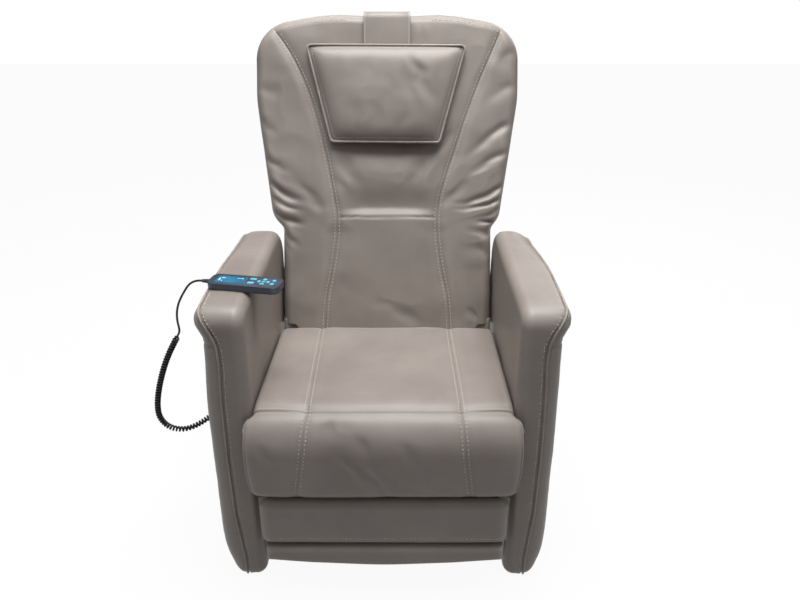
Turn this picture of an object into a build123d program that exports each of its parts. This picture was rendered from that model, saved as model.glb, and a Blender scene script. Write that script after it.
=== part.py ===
from build123d import *
import os
from math import atan2, cos, degrees, pi, radians, sin, tan

os.makedirs("parts", exist_ok=True)

# A riser recliner: a chassis with seat, arms, reclining back and legrest stands on a lift base.
# Millimetres. X to the sitter's left, the chair faces -Y, Z up, the floor is Z = 0.

# ---- Upholstery sizes ----
INNER_WIDTH = 524  # between the arms' inner faces
ARM_THICKNESS = 83
ARM_FLARE = 14  # how far the top pad stands out past the outer panel
ARM_FRONT = -345
ARM_REAR = 150
ARM_FOOT = 6  # gap between the arm and the floor
ARM_TOP_FRONT = 645
ARM_TOP_REAR = 671
ARM_REAR_ROUND = 75
FLARE_HEIGHT = 48  # thickness of the flared top pad
LEATHER = 3
SEAT_TOP = 445
SEAT_FRONT = -400
ROLL_BOTTOM = 255
ROLL_DEPTH = 48
ROLL_OVERHANG = 16  # each side of the roll stands out past the inner width
LEAN = 20  # the back's angle from upright at rest
PIVOT_Y = 65
PIVOT_Z = 385
BACK_FRONT = 50  # from the pivot forward to the back's front face
BACK_REAR = 68
BACK_HEIGHT = 805  # from the pivot to the apex, along the back
BACK_SHOULDER = 322  # half width
BACK_FLARE_START = 286
BACK_HIP = 274  # half width just above the arms
BACK_HIP_HEIGHT = 308
BACK_ROUND = 18  # along the back's front edges
PILLOW_DROP = 87  # from the back's apex to the pillow's top
PILLOW_HEIGHT = 230
PILLOW_TOP_WIDTH = 384
PILLOW_BOTTOM_WIDTH = 262
PILLOW_DEPTH = 38
STRAP_WIDTH = 112
STRAP = 2.5
LEG_TOP = 240
LEG_PAD = 22  # thickness of the legrest's upholstery
LEG_BOARD = 9
LEG_ROUND = 21  # along its front edges, to pass under the roll
LEG_BOTTOM = 128
LEG_FRONT = -388
FOOT_TOP = 121
FOOT_BOTTOM = 74
FOOT_SIDE_BOTTOM = 95
FOOT_HALF_WIDTH = 250

# ---- Frame sizes ----
RAIL_WIDTH = 30
RAIL_HEIGHT = 38
RAIL_TOP = 300
RAIL_WALL = 2
RAIL_FRONT = -320
RAIL_REAR = 168
PLATE = 5
LINK = 6
LAYER_GAP = 4  # between neighbouring plates and links
PIN = 6  # pivot pin radius
EYE = 14  # radius of a link's rounded end
TORQUE_TUBE = 12.5
BASE_HEIGHT = 25
BASE_WIDTH = 30
GLIDE = 15
GLIDE_RADIUS = 14
BASE_FRONT = -302
BASE_REAR = 166
GLIDE_INSETS = (29, 20)  # from the base rails' front and rear ends
BACK_TUBE = 11
BACK_TUBE_T = 36.5
BACK_TUBE_INSET = 42
SPRING_WIRE = 1.9
MOTOR = 24  # radius of an actuator's tube
MOTOR_CAN = 20
ROD = 10

# ---- Linkage ----
LIFT_PIVOT = (-300, 75)  # front links on the base, as (Y, Z)
LIFT_FRONT = (-45.8, 95.4)  # front links on the chassis
REAR_PIVOT = (-188.3, 113)
LIFT_REAR = (137.3, 148.1)
LIFT_ANGLE = 50
LIFT_CRANK = 85
BACK_ANGLE = 45
BACK_CRANK = 110
LEG_PIVOT = (-345, 207)
LEG_ANGLE = 80
LEG_CRANK = 70
LEG_MOTOR_X = -110
BACK_MOTOR_X = 110

# ---- Clearances ----
CLEAR = 0.3  # soft solids and plates that lie beside each other
RUNNING = 0.05  # a pin in its hole, on the radius
BORE_CLEAR = 0.5  # a rod in its tube
OPEN_PIVOT = 1.5  # a pin in the eye of the lift linkage's fourth pivot
SLOT_CLEAR = 1.8  # a crank pin in its yoke
SEAT_GAP = 2.5  # between the seat's rear face and the back

# ---- Handset and its cord ----
HANDSET = (150, 50, 15)
HANDSET_CENTRE = (14, -230)  # out from the arm's inner face, and along Y
HANDSET_YAW = -10
HANDSET_LID = 4
BOOT = (18, 5, 3.5)  # length, radius at the case, radius at the lead
LEAD = 4.5
COIL = 14
LEAD_ROUTE = [
    (-367.8, -214.2, 659.7),
    (-389.3, -210.5, 659.9),
    (-412, -211, 630),
    (-427, -211, 601),
    (-432, -210, 571),
    (-429, -208.8, 544),
    (-436, -207, 532),
]
COIL_ROUTE = [
    (-436, -207, 532),
    (-471, -198, 472),
    (-498, -190, 404),
    (-514, -182, 345),
    (-517, -172, 303),
    (-501, -160, 269),
    (-468, -145, 255),
    (-430, -128, 268),
    (-400, -114, 290),
]
TAIL_ROUTE = [
    (-400, -114, 290),
    (-388, -108.4, 298.8),
    (-376, -105, 301.5),
    (-364, -105, 301.5),
]

# ---- Worked out from the sizes above ----
HALF = INNER_WIDTH / 2
OUTER = HALF + ARM_THICKNESS
ARM_SLOPE = degrees(atan2(ARM_TOP_REAR - ARM_TOP_FRONT, ARM_REAR - ARM_FRONT))
RAIL_OUTER = HALF - 7
RAIL_INNER = RAIL_OUTER - RAIL_WIDTH
LAYER_A = RAIL_INNER - PLATE  # drop plates and the base's front brackets
LAYER_B = LAYER_A - LAYER_GAP - LINK  # front links
LAYER_C = LAYER_B - LAYER_GAP - LINK  # rear links
LAYER_D = LAYER_C - LAYER_GAP - PLATE  # the base's rear brackets
SPRING_Z = RAIL_TOP + 15 + SPRING_WIRE
SEAT_UNDER = SPRING_Z + SPRING_WIRE + CLEAR
BACK_WAIST = HALF - 3.5
PILLOW_BOTTOM = BACK_HEIGHT - PILLOW_DROP - PILLOW_HEIGHT
WEIGHT_TOP = BACK_HEIGHT - 205  # the counterweight's upper end
LEG_HALF = HALF - 2.5
BOARD_IN = HALF + 32
BOARD_THICKNESS = 18
BASE_TOP = GLIDE + BASE_HEIGHT
TILT = Pos(0, PIVOT_Y, PIVOT_Z) * Rot(-LEAN, 0, 0)  # the back's own frame, upright
LIFT_ROD_Z = LIFT_PIVOT[1] + LIFT_CRANK * (1 + cos(radians(LIFT_ANGLE / 2))) / 2
BACK_ROD_Z = PIVOT_Z - BACK_CRANK * (1 + cos(radians(BACK_ANGLE / 2))) / 2
LEG_ROD_Z = LEG_PIVOT[1] - LEG_CRANK * (1 + cos(radians(LEG_ANGLE / 2))) / 2


def save(name, *shapes):
    """Write one node; several separate solids go in as one group."""
    solids = [s for shape in shapes for s in shape.solids()]
    export_step(solids[0] if len(solids) == 1 else Compound(solids), f"parts/{name}.step")


def box(x0, x1, y0, y1, z0, z1):
    """A block between two corners."""
    return Pos((x0 + x1) / 2, (y0 + y1) / 2, (z0 + z1) / 2) * Box(
        abs(x1 - x0), abs(y1 - y0), abs(z1 - z0)
    )


def disc_x(x0, x1, y, z, radius):
    """A cylinder along X."""
    return extrude(Plane.YZ.offset(x0) * Pos(y, z) * Circle(radius), amount=x1 - x0)


def disc_y(x, z, y0, y1, radius):
    """A cylinder along Y."""
    return Pos(x, (y0 + y1) / 2, z) * Rot(90, 0, 0) * Cylinder(radius, abs(y1 - y0))


def plate_x(x0, x1, points, rounding=0):
    """A plate across X with the outline given as (Y, Z) points."""
    face = make_face(Polyline(*points, close=True))
    if rounding:
        face = fillet(face.vertices(), rounding)
    return extrude(Plane.YZ.offset(x0) * face, amount=x1 - x0)


def link_x(x0, x1, start, end, radius):
    """A flat bar with round ends between two (Y, Z) points."""
    dy, dz = end[0] - start[0], end[1] - start[1]
    middle = Pos((start[0] + end[0]) / 2, (start[1] + end[1]) / 2)
    length = (dy * dy + dz * dz) ** 0.5
    bar = middle * SlotCenterToCenter(length, 2 * radius, rotation=degrees(atan2(dz, dy)))
    return extrude(Plane.YZ.offset(x0) * bar, amount=x1 - x0)


def both_sides(shape):
    """The shape and its mirror image across the chair's middle."""
    return [shape, mirror(shape, about=Plane.YZ)]


def pin_x(x0, x1, at, radius, head=0, head_radius=0):
    """A pin along X, with a head past x1."""
    pin = disc_x(x0, x1, at[0], at[1], radius)
    if head:
        pin += disc_x(x1, x1 + head, at[0], at[1], head_radius)
    return pin


# ---- Lift base ----
def base_side_rails():
    rail = box(LAYER_A - 10, LAYER_A - 10 + BASE_WIDTH, BASE_FRONT, BASE_REAR, GLIDE, BASE_TOP)
    bore = box(
        LAYER_A - 10 + RAIL_WALL,
        LAYER_A - 10 + BASE_WIDTH - RAIL_WALL,
        BASE_FRONT - 1,
        BASE_REAR + 1,
        GLIDE + RAIL_WALL,
        BASE_TOP - RAIL_WALL,
    )
    return both_sides(rail - bore)


STAND_Y = BASE_REAR - 16  # the lift motor's rear pin


def base_cross_rails():
    ends = LAYER_A - 10
    rails = []
    for y in (LIFT_PIVOT[0] + 62, REAR_PIVOT[0], STAND_Y - 3):
        rail = box(-ends, ends, y - 12.5, y + 12.5, GLIDE, BASE_TOP)
        bore = box(
            -ends - 1,
            ends + 1,
            y - 12.5 + RAIL_WALL,
            y + 12.5 - RAIL_WALL,
            GLIDE + RAIL_WALL,
            BASE_TOP - RAIL_WALL,
        )
        rails.append(rail - bore)
    return rails


def glides():
    x = LAYER_A - 10 + BASE_WIDTH / 2
    return [
        Pos(side * x, y, GLIDE / 2) * Cylinder(GLIDE_RADIUS, GLIDE)
        for side in (-1, 1)
        for y in (BASE_FRONT + GLIDE_INSETS[0], BASE_REAR - GLIDE_INSETS[1])
    ]


def lift_brackets():
    front = plate_x(
        LAYER_A,
        LAYER_A + PLATE,
        [
            (BASE_FRONT, BASE_TOP),
            (LIFT_PIVOT[0] + 26, BASE_TOP),
            (LIFT_PIVOT[0] + EYE, LIFT_PIVOT[1] + EYE),
            (LIFT_PIVOT[0] - EYE, LIFT_PIVOT[1] + EYE),
        ],
        6,
    )
    front += box(LAYER_A, LAYER_A + PLATE, BASE_FRONT, LIFT_PIVOT[0] + 26, BASE_TOP, BASE_TOP + 8)
    front -= disc_x(LAYER_A - 1, LAYER_A + PLATE + 1, *LIFT_PIVOT, PIN + RUNNING)
    rear = plate_x(
        LAYER_D,
        LAYER_D + PLATE,
        [
            (REAR_PIVOT[0] - 12.5, BASE_TOP),
            (REAR_PIVOT[0] + 12.5, BASE_TOP),
            (REAR_PIVOT[0] + EYE, REAR_PIVOT[1] + EYE),
            (REAR_PIVOT[0] - EYE, REAR_PIVOT[1] + EYE),
        ],
    )
    rear -= disc_x(LAYER_D - 1, LAYER_D + PLATE + 1, *REAR_PIVOT, PIN)
    return both_sides(front) + both_sides(rear)


def rear_pivot_pins():
    """Fixed in the base's rear brackets; the rear links turn on them."""
    pin = pin_x(LAYER_D, LAYER_C + LINK + 1, REAR_PIVOT, PIN)
    pin += pin_x(LAYER_D - 4, LAYER_D, REAR_PIVOT, PIN + 3)
    return both_sides(pin)


# ---- Actuators: a tube with a motor can beside it, and a rod with a slotted yoke ----
def actuator(x, z, mouth, tail, can_drop):
    """Fixed tube along Y from its rod mouth to its tail lug, with the motor can can_drop below it."""
    step = 1 if tail > mouth else -1
    tube = disc_y(x, z, mouth, tail, MOTOR)
    can_end = tail - step * 110
    can_z = z - can_drop
    tube += disc_y(x, can_z, tail, can_end, MOTOR_CAN)
    gear_end = tail - step * 42
    low, high = min(z, can_z), max(z, can_z)
    tube += box(x - 19, x + 19, min(tail, gear_end), max(tail, gear_end), low, high)
    lug_end = tail + step * 30
    lug = box(x - 11, x + 11, min(tail, lug_end), max(tail, lug_end), z - 13, z + 13)
    lug -= disc_x(x - 12, x + 12, tail + step * 16, z, PIN + RUNNING)
    tube += lug
    tube -= disc_y(x, z, mouth - step, tail - step * 45, ROD + BORE_CLEAR)
    return tube


def rod(x, z, mouth, yoke_y, slot_half):
    """The rod from inside its tube to a yoke plate whose slot is centred on (yoke_y, z)."""
    step = 1 if mouth > yoke_y else -1
    inner = mouth + step * 70
    bar = disc_y(x, z, inner, yoke_y + step * 13, ROD)
    half_width = PIN + SLOT_CLEAR
    half_height = slot_half + PIN + SLOT_CLEAR
    yoke = box(x - 3, x + 3, yoke_y - 14, yoke_y + 14, z - half_height - 7, z + half_height + 7)
    slot = box(x - 4, x + 4, yoke_y - half_width, yoke_y + half_width, z - slot_half, z + slot_half)
    slot += disc_x(x - 4, x + 4, yoke_y, z - slot_half, half_width)
    slot += disc_x(x - 4, x + 4, yoke_y, z + slot_half, half_width)
    return bar + yoke - slot


def rise(crank, angle):
    """Half of how far a crank pin moves across its rod over the whole swing."""
    return crank * (1 - cos(radians(angle / 2))) / 2


def reach(crank, angle):
    """How far along the rod the crank pin stands from the crank's mid position."""
    return crank * sin(radians(angle / 2))


LIFT_PIN_Y = LIFT_PIVOT[0] + reach(LIFT_CRANK, LIFT_ANGLE)
LIFT_PIN_Z = LIFT_PIVOT[1] + LIFT_CRANK * cos(radians(LIFT_ANGLE / 2))
BACK_PIN_Y = PIVOT_Y + reach(BACK_CRANK, BACK_ANGLE)
BACK_PIN_Z = PIVOT_Z - BACK_CRANK * cos(radians(BACK_ANGLE / 2))
LEG_PIN_Y = LEG_PIVOT[0] + reach(LEG_CRANK, LEG_ANGLE)
LEG_PIN_Z = LEG_PIVOT[1] - LEG_CRANK * cos(radians(LEG_ANGLE / 2))
CRANK_SIDE = ROD + 2  # from a rod's axis to its crank plate
PIN_END = 5  # from a rod's axis to the far end of its crank's pin


def lift_motor():
    return actuator(0, LIFT_ROD_Z, LIFT_PIN_Y + 108, STAND_Y - 16, MOTOR + MOTOR_CAN + 4)


def lift_motor_stand():
    """Two cheeks and a pin behind the lift motor."""
    cheek = box(11.5, 11.5 + PLATE, STAND_Y - 14, STAND_Y + 11, BASE_TOP, LIFT_ROD_Z + 10)
    cheek -= disc_x(11, 17, STAND_Y, LIFT_ROD_Z, PIN)
    pin = disc_x(-11.5 - PLATE, 11.5 + PLATE, STAND_Y, LIFT_ROD_Z, PIN)
    return both_sides(cheek) + [pin]


def lift_rod():
    return rod(0, LIFT_ROD_Z, LIFT_PIN_Y + 108, LIFT_PIN_Y, rise(LIFT_CRANK, LIFT_ANGLE))


# ---- Lift links ----
def front_lift_links():
    link = link_x(LAYER_B, LAYER_B + LINK, LIFT_PIVOT, LIFT_FRONT, EYE)
    link -= disc_x(LAYER_B - 1, LAYER_B + LINK + 1, *LIFT_FRONT, PIN + RUNNING)
    stub = disc_x(LAYER_B + LINK, LAYER_A + PLATE + 1, *LIFT_PIVOT, PIN)
    return both_sides(link + stub)


def lift_torque_tube():
    """The tube that ties both front links together, with the crank the lift motor pushes."""
    tube = ring_x(-LAYER_B, LAYER_B, LIFT_PIVOT, TORQUE_TUBE - 2.5, TORQUE_TUBE)
    pin_at = (LIFT_PIN_Y, LIFT_PIN_Z)
    side = -CRANK_SIDE
    crank = link_x(side - PLATE, side, LIFT_PIVOT, pin_at, EYE)
    crank += disc_x(side - PLATE, side, *LIFT_PIVOT, TORQUE_TUBE + 7)
    crank -= disc_x(side - PLATE - 1, side + 1, *LIFT_PIVOT, TORQUE_TUBE)
    return [tube, crank + pin_x(side, PIN_END, pin_at, PIN)]


def ring_x(x0, x1, at, inner, outer):
    """A tube along X."""
    return disc_x(x0, x1, *at, outer) - disc_x(x0 - 1, x1 + 1, *at, inner)


def rear_lift_links():
    link = link_x(LAYER_C, LAYER_C + LINK, REAR_PIVOT, LIFT_REAR, EYE)
    link -= disc_x(LAYER_C - 1, LAYER_C + LINK + 1, *REAR_PIVOT, PIN + RUNNING)
    link -= disc_x(LAYER_C - 1, LAYER_C + LINK + 1, *LIFT_REAR, PIN + OPEN_PIVOT)
    return both_sides(link)


# ---- Chassis ----
BOLT_YZ = [(-250, 281), (-110, 281), (70, 281)]
BOLT = 4


def seat_side_rails():
    low = RAIL_TOP - RAIL_HEIGHT
    rail = box(RAIL_INNER, RAIL_OUTER, RAIL_FRONT, RAIL_REAR, low, RAIL_TOP)
    rail -= box(
        RAIL_INNER + RAIL_WALL,
        RAIL_OUTER - RAIL_WALL,
        RAIL_FRONT - 1,
        RAIL_REAR + 1,
        low + RAIL_WALL,
        RAIL_TOP - RAIL_WALL,
    )
    for at in BOLT_YZ:
        rail -= disc_x(RAIL_INNER - 1, RAIL_OUTER + 1, *at, BOLT + RUNNING)
    return both_sides(rail)


FRONT_TUBE = (RAIL_FRONT, RAIL_FRONT + 25)
REAR_BAR = (-38, -13)
REAR_RAIL = (RAIL_REAR - 25, RAIL_REAR)


def seat_cross_members():
    """Front tube and rear bar, which carry the seat springs, and the rear rail behind the back."""
    ends = RAIL_INNER
    spring_seat = SPRING_Z - SPRING_WIRE
    front = box(-ends, ends, *FRONT_TUBE, RAIL_TOP - 30, spring_seat)
    front -= box(
        -ends - 1,
        ends + 1,
        FRONT_TUBE[0] + RAIL_WALL,
        FRONT_TUBE[1] - RAIL_WALL,
        RAIL_TOP - 30 + RAIL_WALL,
        spring_seat - RAIL_WALL,
    )
    bar = box(-RAIL_OUTER, RAIL_OUTER, *REAR_BAR, RAIL_TOP, spring_seat)
    rear = box(-LAYER_A, LAYER_A, *REAR_RAIL, RAIL_TOP - RAIL_HEIGHT, RAIL_TOP)
    rear -= box(
        -LAYER_A - 1,
        LAYER_A + 1,
        REAR_RAIL[0] + RAIL_WALL,
        REAR_RAIL[1] - RAIL_WALL,
        RAIL_TOP - RAIL_HEIGHT + RAIL_WALL,
        RAIL_TOP - RAIL_WALL,
    )
    return [front, bar, rear]


def drop_plates():
    """Plates from the seat rails down to the links' upper pivots."""
    front = plate_x(
        LAYER_A,
        LAYER_A + PLATE,
        [
            (LIFT_FRONT[0] - 45, RAIL_TOP - 4),
            (LIFT_FRONT[0] - EYE, LIFT_FRONT[1] - EYE),
            (LIFT_FRONT[0] + EYE, LIFT_FRONT[1] - EYE),
            (LIFT_FRONT[0] + 45, RAIL_TOP - 4),
        ],
        5,
    )
    front -= disc_x(LAYER_A - 1, LAYER_A + PLATE + 1, *LIFT_FRONT, PIN)
    rear = plate_x(
        LAYER_A,
        LAYER_A + PLATE,
        [
            (LIFT_REAR[0] - 55, RAIL_TOP - 4),
            (LIFT_REAR[0] - EYE, LIFT_REAR[1] - EYE),
            (LIFT_REAR[0] + EYE, LIFT_REAR[1] - EYE),
            (LIFT_REAR[0] + 25, RAIL_TOP - 4),
        ],
        5,
    )
    rear -= disc_x(LAYER_A - 1, LAYER_A + PLATE + 1, *LIFT_REAR, PIN)
    return both_sides(front) + both_sides(rear)


def chassis_pins():
    front = pin_x(LAYER_B - 1, LAYER_A + PLATE, LIFT_FRONT, PIN, 4, PIN + 3)
    rear = pin_x(LAYER_C - 1, LAYER_A + PLATE, LIFT_REAR, PIN, 4, PIN + 3)
    return both_sides(front) + both_sides(rear)


def zigzag(length, half_width, pitch):
    """A sinuous spring in the XY plane from y = 0 to y = length."""
    turns = int(length // pitch)
    step = length / turns
    points = [(0, 0)]
    for i in range(turns):
        side = half_width if i % 2 == 0 else -half_width
        points += [(side, i * step + 0.02 * step), (side, (i + 0.98) * step)]
    points.append((0, length))
    path = FilletPolyline(*points, radius=step * 0.44)
    return sweep(Plane(path @ 0, z_dir=path % 0) * Circle(SPRING_WIRE), path=path)


def seat_springs():
    start = FRONT_TUBE[0] + 8
    spring = zigzag(REAR_BAR[1] - 8 - start, 24, 24)
    return [Pos(x, start, SPRING_Z) * spring for x in (-168, -84, 0, 84, 168)]


def seat_profile(inset):
    """Side view of the seat cushion with its front roll; the rear face lies along the back."""
    lean = tan(radians(LEAN))
    rear_at_pivot = PIVOT_Y - (BACK_FRONT + SEAT_GAP) / cos(radians(LEAN))

    def rear(z):
        return rear_at_pivot + (z - PIVOT_Z) * lean

    roll_rear = SEAT_FRONT + ROLL_DEPTH
    outline = make_face(
        Polyline(
            (rear(SEAT_TOP), SEAT_TOP),
            (SEAT_FRONT, SEAT_TOP),
            (SEAT_FRONT, ROLL_BOTTOM),
            (roll_rear, ROLL_BOTTOM),
            (roll_rear, SEAT_UNDER),
            (rear(SEAT_UNDER), SEAT_UNDER),
            close=True,
        )
    )
    corners = outline.vertices()
    front_top = corners.sort_by_distance((SEAT_FRONT, SEAT_TOP))[0]
    front_low = corners.sort_by_distance((SEAT_FRONT, ROLL_BOTTOM))[0]
    outline = fillet(front_top, 46)
    outline = fillet(outline.vertices().sort_by_distance((SEAT_FRONT, ROLL_BOTTOM))[0], 22)
    return offset(outline, amount=-inset) if inset else outline


def seat_shape(inset):
    """Seat between the arms, with the roll spreading in front of them."""
    profile = Plane.YZ * seat_profile(inset)
    half = HALF - 1 - inset
    roll_half = HALF + ROLL_OVERHANG - inset
    body = extrude(profile, amount=half, both=True)
    roll = extrude(profile, amount=roll_half, both=True)
    roll &= box(-roll_half, roll_half, SEAT_FRONT, ARM_FRONT - 2 - inset, 0, SEAT_TOP)
    return body + roll


def seat_cushion():
    """Leather cover and the foam inside it."""
    foam = seat_shape(LEATHER)
    return seat_shape(0) - foam, foam


# ---- Arms ----
def arm_section(inset):
    """Cross-section of the sitter's right arm: distance out from the middle, and height."""
    top = ARM_TOP_FRONT
    flare = top - FLARE_HEIGHT
    face = make_face(
        Polyline(
            (HALF, -60),
            (HALF, top),
            (OUTER + ARM_FLARE, top),
            (OUTER + ARM_FLARE, flare + 20),
            (OUTER, flare - 16),
            (OUTER, -60),
            close=True,
        )
    )
    for corner, radius in (
        ((HALF, top), 22),
        ((OUTER + ARM_FLARE, top), 18),
        ((OUTER + ARM_FLARE, flare + 20), 12),
        ((OUTER, flare - 16), 30),
    ):
        face = fillet(face.vertices().sort_by_distance(corner)[0], radius)
    return offset(face, amount=-inset) if inset else face


def arm_side(inset):
    """Side view of an arm, with a large rounding at the rear of its top."""
    face = make_face(
        Polyline(
            (ARM_FRONT, ARM_FOOT),
            (ARM_FRONT, ARM_TOP_FRONT),
            (ARM_REAR, ARM_TOP_REAR),
            (ARM_REAR, ARM_FOOT),
            close=True,
        )
    )
    for corner, radius in (
        ((ARM_FRONT, ARM_TOP_FRONT), 26),
        ((ARM_REAR, ARM_TOP_REAR), ARM_REAR_ROUND),
        ((ARM_REAR, ARM_FOOT), 18),
        ((ARM_FRONT, ARM_FOOT), 10),
    ):
        face = fillet(face.vertices().sort_by_distance(corner)[0], radius)
    return offset(face, amount=-inset) if inset else face


def arm_shape(inset):
    """The sitter's right arm (at -X): its section swept along the sloping top, cut to the side view."""
    slope = radians(ARM_SLOPE)
    along = Plane(
        origin=(0, ARM_FRONT, 0),
        x_dir=(-1, 0, 0),
        z_dir=(0, cos(slope), sin(slope)),
    )
    length = (ARM_REAR - ARM_FRONT) + 60
    prism = extrude(along * arm_section(inset), amount=length)
    prism += extrude(along * arm_section(inset), amount=-60)
    side = extrude(Plane.YZ * arm_side(inset), amount=-(OUTER + 40))
    return prism & side


def arm_board_shape():
    """Upright plywood panel inside the arm."""
    face = make_face(
        Polyline(
            (ARM_FRONT + 28, ARM_FOOT + 12),
            (ARM_FRONT + 28, ARM_TOP_FRONT - 36),
            (ARM_REAR - 26, ARM_TOP_REAR - 36),
            (ARM_REAR - 26, ARM_FOOT + 12),
            close=True,
        )
    )
    face = fillet(face.vertices().sort_by_distance((ARM_REAR, ARM_TOP_REAR))[0], ARM_REAR_ROUND - 15)
    return extrude(Plane.YZ.offset(-BOARD_IN - BOARD_THICKNESS) * face, amount=BOARD_THICKNESS)


PANEL_EDGE = HALF + 56  # where the piped seam parts the wrap from the outer panel
SLEEVE = 9  # radius of the bolts' spacer sleeves


def sleeve_holes(radius):
    """Cuts for what passes through the inner pad to the board."""
    holes = disc_x(-BOARD_IN, -HALF + 1, *BOLT_YZ[0], radius)
    for at in BOLT_YZ[1:]:
        holes += disc_x(-BOARD_IN, -HALF + 1, *at, radius)
    return holes


def arm_parts():
    """Wrap, outer panel, foam and board of the arm at -X."""
    outside, inside = arm_shape(0), arm_shape(LEATHER)
    board = arm_board_shape()
    cover = outside - inside - sleeve_holes(SLEEVE + CLEAR)
    split = box(-OUTER - 1, -PANEL_EDGE, ARM_FRONT - 1, ARM_REAR + 1, 0, ARM_TOP_FRONT - FLARE_HEIGHT - 18)
    panel = cover & split
    wrap = cover - split
    foam = inside - board - sleeve_holes(SLEEVE + CLEAR)
    for at in BOLT_YZ:
        board -= disc_x(-BOARD_IN - BOARD_THICKNESS - 1, -BOARD_IN + 1, *at, BOLT + RUNNING)
    return wrap, panel, foam, board


def arm_sleeves():
    """Spacer sleeves between the seat rails and the arm boards."""
    sleeves = []
    for at in BOLT_YZ:
        sleeve = ring_x(RAIL_OUTER, BOARD_IN, at, BOLT + RUNNING, SLEEVE)
        sleeves += both_sides(sleeve)
    return sleeves


def arm_bolts():
    bolts = []
    for at in BOLT_YZ:
        bolt = disc_x(RAIL_INNER, BOARD_IN + BOARD_THICKNESS - 1, *at, BOLT)
        bolt += disc_x(RAIL_INNER - 5, RAIL_INNER, *at, 7.5)
        bolts += both_sides(bolt)
    return bolts


SOCKET = (TAIL_ROUTE[-1][1], TAIL_ROUTE[-1][2])
SOCKET_END = -OUTER - 19


SOCKET_RADIUS = 9


def socket_hole():
    """Cut for the handset socket in the outer panel and the foam behind it."""
    return disc_x(-OUTER - 1, -OUTER + 22, *SOCKET, SOCKET_RADIUS + RUNNING)


def handset_socket():
    """Round socket in the outer panel, with a sleeve the cord comes out of."""
    flange = disc_x(-OUTER - 3, -OUTER, *SOCKET, 15)
    body = disc_x(-OUTER, -OUTER + 21, *SOCKET, SOCKET_RADIUS)
    sleeve = disc_x(SOCKET_END, -OUTER - 3, *SOCKET, 5)
    return flange + body + sleeve


def rear_valance():
    """Panel hung behind the mechanism."""
    width = RAIL_OUTER - 4
    return box(-width, width, RAIL_REAR, RAIL_REAR + 3, 184, RAIL_TOP - 6)


def back_hinge_brackets():
    """Plates on the seat rails that carry the back's pivots."""
    x = BACK_HINGE_X + PLATE + 2
    plate = plate_x(
        x,
        x + PLATE,
        [
            (PIVOT_Y - 40, RAIL_TOP),
            (PIVOT_Y + 40, RAIL_TOP),
            (PIVOT_Y + EYE, PIVOT_Z + EYE),
            (PIVOT_Y - EYE, PIVOT_Z + EYE),
        ],
    )
    plate -= disc_x(x - 1, x + PLATE + 1, PIVOT_Y, PIVOT_Z, PIN)
    return both_sides(plate)


BACK_HINGE_X = HALF - BACK_TUBE_INSET + BACK_TUBE - 3.5  # inner face of the back's hinge plates


def back_pivot_pins():
    x = BACK_HINGE_X
    return both_sides(pin_x(x - 3, x + 2 * PLATE + 2, (PIVOT_Y, PIVOT_Z), PIN, 3, PIN + 3))


def back_motor():
    mouth = BACK_PIN_Y - 168
    return actuator(BACK_MOTOR_X, BACK_ROD_Z, mouth, FRONT_TUBE[1] + 30, MOTOR + MOTOR_CAN + 2)


def motor_clevis(x, y, z, y_from, y_to):
    """Two cheeks and a pin that hold an actuator's lug."""
    cheek = box(x + 11.5, x + 11.5 + PLATE, y_from, y_to, z - 13, z + 13)
    cheek -= disc_x(x + 11, x + 17, y, z, PIN)
    other = Pos(-23 - PLATE, 0, 0) * cheek
    pin = disc_x(x - 11.5 - PLATE, x + 11.5 + PLATE, y, z, PIN)
    return [cheek, other, pin]


def motor_mounts():
    """Clevises for the back and legrest motors; the legrest one hangs from the rear bar."""
    tail = FRONT_TUBE[1] + 30
    mounts = motor_clevis(BACK_MOTOR_X, tail - 16, BACK_ROD_Z, FRONT_TUBE[1], tail - 5)
    hanger_y = (REAR_BAR[0] + REAR_BAR[1]) / 2
    for side in (-1, 1):
        x = LEG_MOTOR_X + side * (11.5 + PLATE / 2)
        cheek = box(
            x - PLATE / 2, x + PLATE / 2, REAR_BAR[0] + 2, REAR_BAR[1], LEG_ROD_Z - 13, RAIL_TOP
        )
        mounts.append(cheek - disc_x(x - PLATE, x + PLATE, hanger_y, LEG_ROD_Z, PIN))
    half = 11.5 + PLATE
    mounts.append(disc_x(LEG_MOTOR_X - half, LEG_MOTOR_X + half, hanger_y, LEG_ROD_Z, PIN))
    return mounts


LEG_MOUTH = LEG_PIN_Y + 108


def legrest_motor():
    tail = (REAR_BAR[0] + REAR_BAR[1]) / 2 - 16
    return actuator(LEG_MOTOR_X, LEG_ROD_Z, LEG_MOUTH, tail, -(MOTOR + MOTOR_CAN + 2))


def back_rod():
    mouth = BACK_PIN_Y - 168
    return rod(BACK_MOTOR_X, BACK_ROD_Z, mouth, BACK_PIN_Y, rise(BACK_CRANK, BACK_ANGLE))


def legrest_rod():
    return rod(LEG_MOTOR_X, LEG_ROD_Z, LEG_MOUTH, LEG_PIN_Y, rise(LEG_CRANK, LEG_ANGLE))


def control_box():
    """Power and control unit behind the front tube."""
    case = box(22, 78, FRONT_TUBE[1], FRONT_TUBE[1] + 120, RAIL_TOP - 40, RAIL_TOP + 8)
    case = fillet(case.edges().filter_by(Axis.Y), 4)
    return case - INLET_HOLE


INLET_Y = FRONT_TUBE[1] + 120
INLET_HOLE = box(36, 64, INLET_Y - 18, INLET_Y + 1, RAIL_TOP - 26, RAIL_TOP - 6)


def mains_inlet():
    """Recessed power inlet with three blades; its lead is unplugged."""
    shell = box(36, 64, INLET_Y - 18, INLET_Y + 1.5, RAIL_TOP - 26, RAIL_TOP - 6)
    shell -= box(39, 61, INLET_Y - 15, INLET_Y + 2, RAIL_TOP - 23, RAIL_TOP - 9)
    for x, z in ((44, RAIL_TOP - 19), (50, RAIL_TOP - 13), (56, RAIL_TOP - 19)):
        shell += box(x - 1, x + 1, INLET_Y - 16, INLET_Y - 2, z - 2, z + 2)
    return shell


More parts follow.
